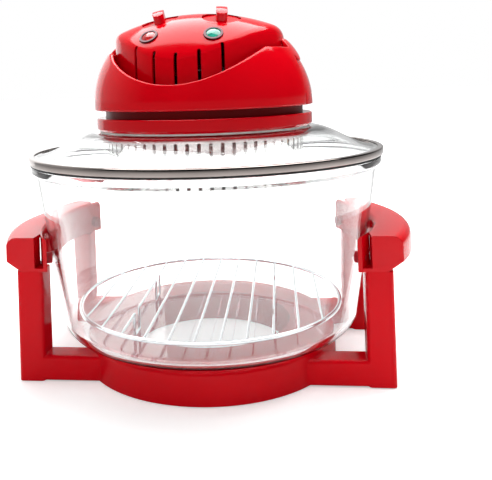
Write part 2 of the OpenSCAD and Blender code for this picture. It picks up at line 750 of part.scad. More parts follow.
// One cooling slot: it starts a little above the panel's edge, at angle a from the front
module dome_slot(a) {
  x = 86 * sin(a);
  y = -86 * cos(a);
  top = panel_z(x, y);
  low = rim_plate_z + 21.5;
  translate([-slot_w / 2, -far / 2 - 70, low]) cube([slot_w, far / 2, top - low]);
}
module skirt_section(arc_r, arc_z, r, big_r, inner) {
  // Straight lower part, then a quarter of a big circle up to the top
  low = inner ? head_bottom - 1 : head_bottom;
  intersection() {
    union() {
      translate([0, low]) square([arc_r + r, arc_z - low]);
      translate([arc_r, arc_z]) circle(r = r, $fn = 128);
      translate([0, arc_z - e]) square([arc_r, r + e]);
    }
    translate([0, low]) square([2 * big_r, far]);
  }
}
module rear_skirt(o, inner = false) {
  rotate_extrude($fn = 128) skirt_section(rear_arc_r, rear_arc_z, skirt_r + o, head_r, inner);
}
module handle_skirt(o, inner = false) {
  translate([0, handle_y, 0]) rotate_extrude($fn = 128)
    skirt_section(handle_arc_r, handle_arc_z, skirt_r + o, handle_r, inner);
}
inlet_z = rim_plate_z + 17;
inlet_w = 28;
inlet_h = 20;
inlet_boss_y = 94;                           // inner face of the flat boss round the inlet
inlet_face = head_r;                         // outer face of that boss
inlet_plate_t = 1.6;
vent_pitch = 8;                              // rear vents
vent_z = rim_plate_z + 40;
vent_h = 16;
module rear_housing() {
  front = handle_back + handle_gap;
  flange_z = rim_plate_z + rim_plate_t;
  head_frame() color(red) difference() {
    union() {
      intersection() {
        difference() {
          rear_skirt(0);
          rear_skirt(-shell_t, true);
        }
        translate([-far, front, 0]) cube(2 * far);
      }
      intersection() {
        rear_skirt(0);
        difference() {
          union() {
            translate([-far, front, 0]) cube([2 * far, shell_t, far]);
            intersection() {
              ring_solid(housing_post_at - 4, head_r, flange_z, flange_z + shell_t);
              translate([-far, front, 0]) cube(2 * far);
            }
          }
          cylinder(r = rim_plate_r + seat_gap, h = flange_z);
        }
      }
      housing_screw_places() translate([0, 0, floor_z]) cylinder(r = 3.4, h = flange_z + shell_t - floor_z);
      translate([-inlet_w / 2 - 4.5, inlet_boss_y, inlet_z - inlet_h / 2 - 4])
        cube([inlet_w + 9, inlet_face - inlet_boss_y, inlet_h + 8]);
    }
    difference() {
      translate([0, dome_y, floor_z - 1]) cylinder(r = dome_r + 0.3, h = far);
      translate([-far, dome_back + 0.3, 0]) cube(2 * far);
    }
    pivot_axis(lobe_r + handle_gap, dome_r - 8, far / 2);
    housing_screw_places() cylinder(r = head_screw_r + fit, h = floor_z + 8);
    translate([-inlet_w / 2 - slip, head_r / 2, inlet_z - inlet_h / 2 - slip])
      cube([inlet_w + 2 * slip, head_r, inlet_h + 2 * slip]);
    for (i = [-4:4]) translate([i * vent_pitch - slot_w / 2, head_r / 2, vent_z])
      cube([slot_w, head_r, vent_h]);
  }
}
module carry_handle() {
  head_frame() color(red) difference() {
    union() {
      intersection() {
        difference() {
          handle_skirt(0);
          handle_skirt(-handle_t, true);
        }
        translate([-far, -2 * far + handle_back, 0]) cube([2 * far, 2 * far, ear_top_z]);
        translate([0, 0, edge_top_z - edge_curve_r]) rotate([0, 90, 0])
          cylinder(r = edge_curve_r, h = far, center = true, $fn = 256);
      }
      intersection() {
        handle_skirt(0);
        union() {
          pivot_axis(lobe_r, ear_face, far / 2);
          for (s = [0, 1]) mirror([s, 0, 0]) translate([ear_face, handle_back - 6, pivot_z - ear_neck])
            cube([far / 4, pivot_y - handle_back + 6, ear_top_z - pivot_z + ear_neck]);
        }
      }
      translate([-2.5, handle_y - handle_r + 1, head_bottom + 5])
        cube([5, handle_r - handle_y - dome_r + dome_y - plunger_out - seat_gap - 1, 9]);
    }
    translate([-ear_face, pivot_y, pivot_z]) rotate([0, 90, 0])
      cylinder(r = ear_clear_r, h = 2 * ear_face);
    pivot_axis(pivot_r + fit, ear_face - 1, pin_end + 0.3);
  }
}
module handle_pivots() {
  head_frame() color(steel) {
    pivot_axis(pivot_r, dome_r - 4.5, pin_end);
    pivot_axis(pivot_r + 2, dome_r - 5.5, dome_r - 3.5);
  }
}

// ---------- Controls ----------
module lens(x) {
  head_frame() on_panel(x, -lens_y) difference() {
    union() {
      translate([0, 0, -1 + 0.05]) cylinder(r = bezel_r - 2, h = 1.5);
      intersection() {
        translate([0, 0, 0.5]) cylinder(r = bezel_r - 2, h = 5);
        translate([0, 0, 2.2 - 13]) sphere(r = 13);
      }
      translate([0, 0, -15]) cylinder(r = 4.2, h = 14.2);
    }
    translate([0, 0, -16]) cylinder(r = 3.05, h = 14);
  }
}
module power_lens() { color([0.9, 0.1, 0.1, 0.8]) lens(-lens_x); }
module heat_lens() { color([0.1, 0.7, 0.5, 0.8]) lens(lens_x); }
module lens_bezels() {
  head_frame() color(steel) for (s = [-1, 1]) on_panel(s * lens_x, -lens_y) difference() {
    translate([0, 0, -1]) cylinder(r = bezel_r, h = 2.2);
    translate([0, 0, -2]) cylinder(r = bezel_r - 1.9, h = 6);
  }
}
neon_r = 2.9;
module neon_lamps() {
  head_frame() color(white) for (s = [-1, 1]) on_panel(s * lens_x, -lens_y) {
    translate([0, 0, -13.5]) cylinder(r = neon_r, h = 8.3);
    translate([0, 0, -5.2]) sphere(r = neon_r);
  }
}
unit_r = 18.5;
unit_l = 24;
spindle_r = 3;
module unit(x) {
  head_frame() on_panel(x, -knob_y) difference() {
    union() {
      translate([0, 0, -well_d - shell_t - unit_l]) cylinder(r = unit_r, h = unit_l - 0.05);
      translate([0, 0, -well_d - shell_t - 0.1]) cylinder(r = 3.9, h = 2);
    }
    translate([0, 0, -well_d - shell_t - 16]) cylinder(r = spindle_r + fit, h = far);
  }
}
module timer_unit() { color(white) unit(-knob_x); }
module thermostat_unit() { color(black) unit(knob_x); }
module spindle(x) {
  head_frame() on_panel(x, -knob_y)
    translate([0, 0, -well_d - shell_t - 15.6]) cylinder(r = spindle_r, h = well_d + shell_t + 15.6 + 3);
}
module timer_spindle() { color(steel) spindle(-knob_x); }
module thermostat_spindle() { color(steel) spindle(knob_x); }
module knob(x) {
  // Bar turned so that its length runs from front to back, plus bar_turn
  n = panel_normal(x, -knob_y);
  bar_l = 2 * well_r - 6;
  disc_top = -2.6;
  head_frame() on_panel(x, -knob_y) rotate([0, 0, 90 + bar_turn - atan2(n[1], n[0])]) difference() {
    union() {
      translate([0, 0, -well_d + seat_gap]) cylinder(r = well_r - 0.8, h = well_d + disc_top - seat_gap);
      intersection() {
        translate([0, 0, disc_top - e]) linear_extrude(bar_h - disc_top + e) round_rect(bar_l, bar_w, 4.9);
        translate([0, 0, bar_h - 42]) sphere(r = 42, $fn = 128);
      }
    }
    translate([0, 0, -well_d - 1]) cylinder(r = spindle_r + fit, h = well_d + 4.2);
    translate([bar_l / 2 - 7, -0.6, bar_h - 2]) cube([9, 1.2, 9]);
  }
}
module timer_knob() { color(red) knob(-knob_x); }
module thermostat_knob() { color(red) knob(knob_x); }
switch_air = 1.2;                            // air between the dome's wall and the switch
switch_face = dome_y - dome_r + shell_t + switch_air;
module safety_switch() {
  head_frame() color(black) difference() {
    translate([-10, switch_face, floor_z]) cube([20, 9, switch_mid_z - floor_z + 6]);
    translate([0, switch_face - 1, switch_mid_z]) rotate([-90, 0, 0])
      cylinder(r = plunger_r + fit, h = 8);
  }
}
module switch_plunger() {
  tip = dome_y - dome_r - plunger_out;
  head_frame() color(white) translate([0, tip, switch_mid_z]) rotate([-90, 0, 0])
    cylinder(r = plunger_r, h = switch_face - tip + 5);
}

// ---------- Motor ----------
bush_h = 5;
module motor_stator() {
  head_frame() color([0.45, 0.45, 0.48]) difference() {
    union() {
      translate([-24, -20, motor_z]) cube([48, 62, motor_h]);
      for (x = [-1, 1], y = [-motor_post[1], motor_back]) translate([x * motor_post[0], y, floor_z])
        cylinder(r = 3, h = motor_z - floor_z);
    }
    cylinder(r = 13.3, h = far);
    translate([-14, 20, 0]) cube([28, 11, far]);
  }
}
module motor_coil() {
  head_frame() color([0.7, 0.35, 0.15]) difference() {
    translate([-12.5, 20.5, motor_z - 8]) cube([25, 32, motor_h + 16]);
    translate([-far, 31 - slip, motor_z - slip]) cube([2 * far, 11 + 2 * slip, motor_h + 2 * slip]);
  }
}
module motor_brackets() {
  head_frame() color(steel) for (z = [motor_z - 6, motor_z + motor_h + 4]) difference() {
    union() {
      translate([-24, -7, z]) cube([48, 14, 2]);
      for (x = [-20, 20]) translate([x, 0, min(z, motor_z + motor_h)])
        cylinder(r = 3, h = z < motor_z ? motor_z - z : 4 + e);
    }
    translate([0, 0, z - 1]) cylinder(r = 5 + fit, h = 4);
  }
}
module motor_bushes() {
  head_frame() color(brass) for (z = [motor_z - 6, motor_z + motor_h + 4])
    translate([0, 0, z + 1 - bush_h / 2]) difference() {
      cylinder(r = 5, h = bush_h);
      translate([0, 0, -1]) cylinder(r = shaft_r + fit, h = bush_h + 2);
    }
}
shaft_low = can_z + 6;
shaft_high = motor_z + motor_h + 10;
module fan_shaft() {
  head_frame() color(steel) translate([0, 0, shaft_low]) cylinder(r = shaft_r, h = shaft_high - shaft_low);
}
module motor_rotor() {
  head_frame() color(steel) difference() {
    translate([0, 0, motor_z + 0.5]) cylinder(r = 12.9, h = motor_h - 1);
    cylinder(r = shaft_r + fit, h = far);
  }
}
module blade_wheel(z, hub_r, r, h, n, lean) {
  translate([0, 0, z]) difference() {
    union() {
      cylinder(r = hub_r, h = h + 1);
      for (i = [0:n - 1]) rotate([0, 0, i * 360 / n]) intersection() {
        translate([hub_r - 1, 0, h / 2]) rotate([lean, 0, 0]) translate([0, -0.6, -h])
          cube([r - hub_r + 1, 1.2, 2 * h]);
        cylinder(r = r, h = h);
      }
    }
    translate([0, 0, -1]) cylinder(r = shaft_r + fit, h = h + 3);
  }
}
module hot_fan() { head_frame() color(steel) blade_wheel(can_z + 7, 9, fan_r, 11, fan_blades, 35); }
module cooling_fan() { head_frame() color(black) blade_wheel(floor_z + 1.5, 7, 20, 9, 6, 35); }

// ---------- Wiring parts ----------
block_size = [40, 14, 12];                   // terminal block
block_y = housing_post_at - 22;              // its front face
block_pitch = 12;                            // distance between its terminals
module terminal_block() {
  head_frame() color(white) difference() {
    translate([-block_size[0] / 2, block_y, floor_z]) cube(block_size);
    for (i = [-1:1]) translate([i * block_pitch, block_y + block_size[1] / 2, floor_z + 5])
      cylinder(r = 3, h = 10);
  }
}
pin_depth = 16;                              // depth of the inlet's socket
pin_size = [2, 19, 4];                       // one flat pin of the inlet
module pin_bars(g) {
  for (p = [[-7, -2], [7, -2], [0, 2]])
    translate([p[0] - pin_size[0] / 2 - g, inlet_face - pin_depth - 10, inlet_z + p[1] - pin_size[2] / 2 - g])
      cube(pin_size + [2 * g, 0, 2 * g]);
}
module power_inlet() {
  head_frame() color(black) difference() {
    union() {
      translate([-inlet_w / 2 - 3, inlet_face, inlet_z - inlet_h / 2 - 2])
        cube([inlet_w + 6, inlet_plate_t, inlet_h + 4]);
      translate([-inlet_w / 2, inlet_face - pin_depth - 6, inlet_z - inlet_h / 2])
        cube([inlet_w, pin_depth + 6 + e, inlet_h]);
    }
    translate([-12, inlet_face - pin_depth, inlet_z - 8]) cube([24, 30, 16]);
    pin_bars(fit);
  }
}
module inlet_pins() { head_frame() color(brass) pin_bars(0); }

stand_frame();
grip_left();
grip_right();
grip_screws();
stand_feet();
bowl_pads();
glass_bowl();
wire_rack();
glass_lid();
lid_rim_band();
rim_seal();
collar_ring();
collar_gasket();
guard_can();
can_grille();
can_screws();
heat_shield();
reflector_pan();
halogen_lamp();
lamp_end_caps();
lamp_clips();
thermostat_probe();
probe_clips();
head_base();
dome_screws();
housing_screws();
control_dome();
rear_housing();
power_lens();
heat_lens();
lens_bezels();
neon_lamps();
timer_unit();
thermostat_unit();
motor_stator();
motor_coil();
motor_brackets();
motor_bushes();
handle_pivots();
safety_switch();
terminal_block();
power_inlet();
inlet_pins();
carry_handle();
switch_plunger();
timer_knob();
timer_spindle();
thermostat_knob();
thermostat_spindle();
hot_fan();
fan_shaft();
motor_rotor();
cooling_fan();
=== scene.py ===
"""Looks of a halogen oven: glass bowl on a red stand, glass lid and a domed power head.

Lengths are in metres, or in millimetres where a class says so; +Z is up and the front faces -Y.
Glass, lid band and the head's shells are surfaces worked out here. Stand, grips, collar and dials
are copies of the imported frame's nodes with rounded edges, and the rest are its own nodes, dressed.
"""

import sys
import json
import logging
import math
from collections.abc import Callable, Sequence
from dataclasses import dataclass, field
from enum import Enum

import bmesh
import bpy
import numpy as np
from mathutils import Matrix, Vector


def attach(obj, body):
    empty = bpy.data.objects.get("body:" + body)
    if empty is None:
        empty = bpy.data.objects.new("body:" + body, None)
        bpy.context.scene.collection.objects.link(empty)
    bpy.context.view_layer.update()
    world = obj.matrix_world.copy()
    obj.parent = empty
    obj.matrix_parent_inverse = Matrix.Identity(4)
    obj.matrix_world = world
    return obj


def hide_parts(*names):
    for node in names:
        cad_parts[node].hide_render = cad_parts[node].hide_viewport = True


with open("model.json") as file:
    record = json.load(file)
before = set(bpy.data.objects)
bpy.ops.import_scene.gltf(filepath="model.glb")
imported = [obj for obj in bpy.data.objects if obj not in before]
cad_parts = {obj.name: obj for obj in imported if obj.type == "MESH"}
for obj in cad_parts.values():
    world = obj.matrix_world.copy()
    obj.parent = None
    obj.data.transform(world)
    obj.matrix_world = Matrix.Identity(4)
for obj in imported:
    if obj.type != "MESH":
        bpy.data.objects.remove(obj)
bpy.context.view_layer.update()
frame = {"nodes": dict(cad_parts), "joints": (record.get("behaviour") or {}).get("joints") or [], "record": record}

LOG = logging.getLogger("oven")
MM = 0.001
MERGE = 2e-6  # metres under which two points become one
ONE_FACE = 0.6  # degrees under which neighbouring faces become one
CREASE = 32.0  # degrees over which an edge stays sharp in the shading
TURNED_CREASE = 50.0  # the same for turned glass and steel
SMALL = 1e-9
TINY = 1e-12

Array = np.ndarray
Mesh = bpy.types.Mesh
Piece = bpy.types.Object
Socket = bpy.types.NodeSocket
Triple = tuple[float, float, float]


# ------------------------------------------------------------------ mesh building


@dataclass
class Draft:
    """A mesh in the making: grids of points that are stitched into quads."""

    points: list[Array] = field(default_factory=list)
    quads: list[Array] = field(default_factory=list)
    count: int = 0

    def grid(self, surface: Array, wrap_u: bool = False, wrap_v: bool = False) -> "Draft":
        """Adds a surface of shape (nu, nv, 3); corner (i, j) joins (i + 1, j + 1).

        Args:
            surface: the grid of points, in metres.
            wrap_u: True if the last row joins the first.
            wrap_v: True if the last column joins the first.

        Returns:
            The draft itself, so that calls can be chained.
        """
        nu, nv = surface.shape[:2]
        i = np.arange(nu if wrap_u else nu - 1)[:, None]
        j = np.arange(nv if wrap_v else nv - 1)[None, :]
        i2, j2 = (i + 1) % nu, (j + 1) % nv
        quads = np.stack([i * nv + j, i2 * nv + j, i2 * nv + j2, i * nv + j2], axis=-1)
        self.points.append(surface.reshape(-1, 3))
        self.quads.append(quads.reshape(-1, 4) + self.count)
        self.count += nu * nv
        return self

    def add(self, other: "Draft") -> None:
        """Takes in the grids of another draft.

        Args:
            other: the draft whose grids are added.
        """
        self.points += other.points
        self.quads += [quads + self.count for quads in other.quads]
        self.count += other.count

    def mesh(self, name: str) -> Mesh:
        """Writes the mesh: doubles merged, flat quads at poles closed, faces turned outwards.

        Args:
            name: the mesh's name.

        Returns:
            The finished mesh.
        """
        points = np.concatenate(self.points).astype(np.float32)
        quads = np.concatenate(self.quads).astype(np.int32)
        mesh = bpy.data.meshes.new(name)
        mesh.vertices.add(len(points))
        mesh.vertices.foreach_set("co", points.ravel())
        mesh.loops.add(quads.size)
        mesh.loops.foreach_set("vertex_index", quads.ravel())
        mesh.polygons.add(len(quads))
        mesh.polygons.foreach_set("loop_start", np.arange(0, quads.size, 4, dtype=np.int32))
        mesh.update(calc_edges=True)
        work = bmesh.new()
        work.from_mesh(mesh)
        bmesh.ops.remove_doubles(work, verts=work.verts, dist=MERGE)
        bmesh.ops.dissolve_degenerate(work, edges=work.edges, dist=MERGE)
        bmesh.ops.recalc_face_normals(work, faces=work.faces)
        work.to_mesh(mesh)
        work.free()
        mesh.validate()
        return mesh


def smooth(mesh: Mesh, angle: float = CREASE) -> None:
    """Shades a mesh smooth, with creases where faces meet at more than angle degrees."""
    mesh.shade_smooth()
    mesh.set_sharp_from_angle(angle=math.radians(angle))


def place(mesh: Mesh, name: str, turn: Matrix | None = None, angle: float = CREASE) -> Piece:
    """Makes an object at the origin whose place is in its mesh.

    Args:
        mesh: the mesh to show.
        name: the object's name.
        turn: a matrix applied to the mesh's points, or None.
        angle: crease angle in degrees.

    Returns:
        The object, linked to the scene.
    """
    if turn is not None:
        mesh.transform(turn)
    smooth(mesh, angle)
    piece = bpy.data.objects.new(name, mesh)
    bpy.context.scene.collection.objects.link(piece)
    return piece


class Cut(Enum):
    """What a closed tool does to a piece."""

    AWAY = "DIFFERENCE"
    JOIN = "UNION"


def carve(piece: Piece, cutter: Mesh, kind: Cut = Cut.AWAY) -> None:
    """Cuts or joins a piece with another closed mesh, and keeps the result as its mesh.

    Args:
        piece: the piece to work on.
        cutter: the closed mesh.
        kind: whether the mesh is cut away or joined on.
    """
    tool = bpy.data.objects.new("cutter", cutter)
    bpy.context.scene.collection.objects.link(tool)
    step = piece.modifiers.new("carve", "BOOLEAN")
    step.operation = kind.value
    step.solver = "EXACT"
    step.object = tool
    depsgraph = bpy.context.evaluated_depsgraph_get()
    done = bpy.data.meshes.new_from_object(piece.evaluated_get(depsgraph))
    done.name = piece.data.name
    piece.modifiers.clear()
    piece.data = done
    bpy.data.objects.remove(tool)


def gather(*meshes: Mesh) -> Mesh:
    """Puts the faces of several meshes into the first and drops the others.

    Args:
        meshes: the meshes, the one to keep first.

    Returns:
        The first mesh.
    """
    work = bmesh.new()
    for mesh in meshes:
        work.from_mesh(mesh)
    work.to_mesh(meshes[0])
    work.free()
    for mesh in meshes[1:]:
        bpy.data.meshes.remove(mesh)
    return meshes[0]


def soften(piece: Piece, width: float, segments: int, angle: float) -> None:
    """Adds a small round to sharp edges.

    Args:
        piece: the piece to work on.
        width: width of the round, in metres.
        segments: pieces of the round.
        angle: edges sharper than this many degrees are rounded.
    """
    step = piece.modifiers.new("edge_round", "BEVEL")
    step.width = width
    step.segments = segments
    step.limit_method = "ANGLE"
    step.angle_limit = math.radians(angle)
    step.use_clamp_overlap = True
    step.harden_normals = True
    step.miter_outer = "MITER_ARC"


def outline(corners: Sequence[Triple], steps: int = 5) -> Array:
    """Closed outline with rounded corners.

    Each corner (a, b, radius) gives way to an arc that touches both its sides: the arc's ends lie
    radius / tan(half the corner's angle) from the corner.

    Args:
        corners: corner places and their rounding radii, in order round the outline.
        steps: pieces of each arc.

    Returns:
        The outline's points, of shape (n, 2).
    """
    straight = math.pi / 2 - 1e-3
    pts = np.array([c[:2] for c in corners])
    run: list[Array] = []
    for k, (_, _, radius) in enumerate(corners):
        here, before, after = pts[k], pts[k - 1], pts[(k + 1) % len(pts)]
        a = (before - here) / np.linalg.norm(before - here)
        b = (after - here) / np.linalg.norm(after - here)
        half = 0.5 * math.acos(float(np.clip(a @ b, -1, 1)))
        if radius <= 0 or half > straight:
            run.append(here[None])
            continue
        middle = here + (a + b) / np.linalg.norm(a + b) * radius / math.sin(half)
        start, end = here + a * radius / math.tan(half), here + b * radius / math.tan(half)
        u, v = (start - middle) / radius, (end - middle) / radius
        sweep = math.acos(float(np.clip(u @ v, -1, 1)))
        t = np.linspace(0, 1, steps + 1)[:, None]
        run.append(middle + radius * (np.sin((1 - t) * sweep) * u + np.sin(t * sweep) * v) / math.sin(sweep))
    return np.concatenate(run)


def resample(line: Array, count: int) -> Array:
    """Points at equal steps of length along an open line.

    Args:
        line: points of any dimension.
        count: number of points wanted.

    Returns:
        The new points, the first and last of them the line's own.
    """
    step = np.linalg.norm(np.diff(line, axis=0), axis=1)
    at = np.concatenate([[0.0], np.cumsum(step)])
    want = np.linspace(0, at[-1], count)
    return np.stack([np.interp(want, at, line[:, k]) for k in range(line.shape[1])], axis=1)


def dense(points: Array, step: float) -> Array:
    """Open line with points added along its straight runs.

    Args:
        points: the line's points.
        step: greatest distance between two of the new points.

    Returns:
        The line with the points added.
    """
    run = [points[:1]]
    for a, b in zip(points[:-1], points[1:]):
        n = max(1, math.ceil(float(np.linalg.norm(b - a)) / step))
        run.append(a + (b - a) * (np.arange(1, n + 1) / n)[:, None])
    return np.concatenate(run)


def nearest(points: Array, line: Array, batch: int = 2000) -> Array:
    """Distance of each point to the closest point of a dense line.

    Args:
        points: the points to measure from.
        line: the line's points.
        batch: how many points are measured at once.

    Returns:
        One distance for each point.
    """
    found = np.empty(len(points))
    for k in range(0, len(points), batch):
        gap = points[k : k + batch, None, :] - line[None, :, :]
        found[k : k + batch] = np.sqrt(np.einsum("ijk,ijk->ij", gap, gap).min(axis=1))
    return found


@dataclass
class Plate:
    """Curved plate with rounded edges, cut from a surface between two border lines, in millimetres.

    Lines that join the two borders, point to point, rule the plate. The outer face lies on the
    surface and sinks within one radius of the border as a quarter circle does; the inner face does
    the same from the other side, and a strip joins them.
    """

    skin: Callable[[Array, Array, Array], Array]
    low: Array
    high: Array
    thick: Callable[[Array, Array], Array]
    radius: float
    rows: int = 44
    edge_rows: int = 5
    margin: int = 7  # rows by each border that can lie in the round
    ends: int = 70  # ruling lines by each end that can lie in the round
    border_points: int = 4000
    least_sine: float = 0.2
    most_share: float = 0.3  # of a ruling line, for the round at one end

    def draft(self) -> Draft:
        """Works out the plate: outer face, inner face and the strips between them.

        Returns:
            A draft with the plate's grid, in metres.
        """
        edge = self.radius * (1 - np.cos(np.linspace(0, math.pi / 2, self.edge_rows)))
        zero = np.zeros(len(self.low))
        a = self.skin(self.low[:, 0], self.low[:, 1], zero)
        b = self.skin(self.high[:, 0], self.high[:, 1], zero)
        reach = np.linalg.norm(b - a, axis=1)
        near_a, near_b = self.share(a, b, edge), self.share(b, a, edge)
        grow = np.linspace(0, 1, self.rows + 2)[None, 1:-1]
        first, last = near_a[:, -1:], 1 - near_b[:, -1:]
        v = np.concatenate([near_a, first + (last - first) * grow, 1 - near_b[:, ::-1]], axis=1)
        v = np.where(reach[:, None] > SMALL, v, 0.5)
        p = self.low[:, None, 0] * (1 - v) + self.high[:, None, 0] * v
        q = self.low[:, None, 1] * (1 - v) + self.high[:, None, 1] * v
        sink = self.sink(self.skin(p, q, np.zeros_like(p)), np.concatenate([a, b[::-1], a[:1]]))
        outer = self.skin(p, q, sink)
        inner = self.skin(p, q, self.thick(p, q) - sink)
        surface = np.concatenate([outer, inner[:, ::-1]], axis=1)
        return Draft().grid(surface * MM, wrap_v=True)

    def share(self, start: Array, end: Array, edge: Array) -> Array:
        """Shares of the ruling lines that lie at the given distances from the start's border.

        A line that leaves the border at a slant is followed further, by one over the slant's sine.

        Args:
            start: border points that the ruling lines leave.
            end: border points that they run to.
            edge: distances from the border, growing.

        Returns:
            One row of shares for each ruling line.
        """
        along = np.gradient(start, axis=0)
        along /= np.linalg.norm(along, axis=1)[:, None] + TINY
        across = end - start
        reach = np.linalg.norm(across, axis=1) + TINY
        cosine = np.einsum("ij,ij->i", along, across) / reach
        sine = np.clip(np.sqrt(np.clip(1 - cosine**2, 0, 1)), self.least_sine, 1)
        limit = np.linspace(0, self.most_share, len(edge))[None, :] + SMALL
        return np.minimum(edge[None, :] / sine[:, None] / reach[:, None], limit)

    def sink(self, flat: Array, border: Array) -> Array:
        """Depth of the edge's round: radius less the root of radius squared less the overlap squared.

        Args:
            flat: grid of points on the surface.
            border: points all round the plate, the first repeated at the end.

        Returns:
            The depth at each point of the grid.
        """
        close = np.zeros(flat.shape[:2], dtype=bool)
        close[:, : self.margin] = close[:, -self.margin :] = True
        close[: self.ends] = close[-self.ends :] = True
        gap = np.full(flat.shape[:2], self.radius)
        gap[close] = nearest(flat[close], resample(border, self.border_points))
        overlap = np.clip(self.radius - gap, 0, None)
        return self.radius - np.sqrt(np.clip(self.radius**2 - overlap**2, 0, None))


def lathe(profile: Array, sides: int, closed: bool = True) -> Draft:
    """Surface of revolution about Z: point (r, z) goes to (r cos a, r sin a, z) for a full turn.

    Args:
        profile: (r, z) points, in millimetres.
        sides: number of steps round the axis.
        closed: True if the profile's last point joins its first.

    Returns:
        A draft with the surface.
    """
    a = np.linspace(0, 2 * math.pi, sides, endpoint=False)[:, None]
    r, z = profile[None, :, 0] * MM, profile[None, :, 1] * MM
    surface = np.stack([r * np.cos(a), r * np.sin(a), z + 0 * a], axis=-1)
    return Draft().grid(surface, wrap_u=True, wrap_v=closed)


def block(low: Triple, high: Triple) -> Mesh:
    """A closed box as a tool: two square rings and two lids that end in their middle.

    Args:
        low: the corner with the lowest values, in millimetres.
        high: the corner with the highest.

    Returns:
        The box.
    """
    (x0, y0, z0), (x1, y1, z1) = low, high
    ring = np.array([[x0, y0], [x1, y0], [x1, y1], [x0, y1]])
    rows = [(ring.mean(axis=0), z0), (ring, z0), (ring, z1), (ring.mean(axis=0), z1)]
    level = [np.column_stack([np.broadcast_to(p, ring.shape), np.full(len(ring), z)]) for p, z in rows]
    return Draft().grid(np.stack(level, axis=1) * MM, wrap_u=True).mesh("block")


def prism(ring: Array, y0: Array | float, y1: float) -> Draft:
    """Closed solid: an outline carried along Y, its ends closed to the middle.

    Args:
        ring: outline points (x, z), in millimetres.
        y0: where it starts, one value or one for each point.
        y1: where it ends.

    Returns:
        A draft with the solid.
    """
    middle = np.broadcast_to(ring.mean(axis=0), ring.shape)
    rows = [(middle, np.mean(y0)), (ring, y0), (ring, y1), (middle, y1)]
    level = [np.stack([p[:, 0], p[:, 0] * 0 + y, p[:, 1]], axis=1) for p, y in rows]
    return Draft().grid(np.stack(level, axis=1) * MM, wrap_u=True)


# ------------------------------------------------------------------ finishes


class Nodes:
    """A node tree with short ways to add and join nodes."""

    def __init__(self, tree: bpy.types.NodeTree) -> None:
        """Takes over a tree and empties it."""
        self.tree = tree
        tree.nodes.clear()

    def node(self, kind: str, **settings: object) -> bpy.types.Node:
        """Adds a node.

        Args:
            kind: the node's type.
            settings: its properties.

        Returns:
            The node.
        """
        made = self.tree.nodes.new(kind)
        for key, value in settings.items():
            setattr(made, key, value)
        return made

    def join(self, a: Socket, b: Socket) -> None:
        """Links an output to an input."""
        self.tree.links.new(a, b)

    def ramp(self, value: Socket, source: tuple[float, float], target: tuple[float, float]) -> Socket:
        """Maps one range of a value onto another, held at its ends.

        Args:
            value: the value.
            source: its range.
            target: what that range becomes.

        Returns:
            The mapped value.
        """
        ramp = self.node("ShaderNodeMapRange")
        ends = zip(("From Min", "From Max", "To Min", "To Max"), (*source, *target))
        for name, end in ends:
            ramp.inputs[name].default_value = end
        self.join(value, ramp.inputs["Value"])
        return ramp.outputs["Result"]

    def seen(self) -> tuple[bpy.types.Node, Socket]:
        """Tells rays that the camera sees, straight or through glass, from the rest.

        Returns:
            The light path node, and a value that is 1 for such rays.
        """
        path = self.node("ShaderNodeLightPath")
        either = self.node("ShaderNodeMath", operation="MAXIMUM")
        self.join(path.outputs["Is Camera Ray"], either.inputs[0])
        self.join(path.outputs["Is Transmission Ray"], either.inputs[1])
        return path, either.outputs[0]

    def pick(self, which: Socket, a: Socket, b: Socket) -> Socket:
        """Chooses between two shaders.

        Args:
            which: 0 for the first, 1 for the second.
            a: the first shader.
            b: the second shader.

        Returns:
            The chosen shader.
        """
        mix = self.node("ShaderNodeMixShader")
        for k, socket in enumerate((which, a, b)):
            self.join(socket, mix.inputs[k])
        return mix.outputs[0]


def shade(colour: Triple, factor: float) -> Triple:
    """A colour scaled by a factor, capped at 1."""
    r, g, b = (min(1.0, c * factor) for c in colour)
    return (r, g, b)


@dataclass(frozen=True)
class Variation:
    """How a finish varies over a piece. A noise is given as (waves per metre, octaves)."""

    cloud: tuple[float, float]
    shades: tuple[float, float]
    gloss: tuple[float, float]
    swing: tuple[float, float]
    grain: tuple[float, float]


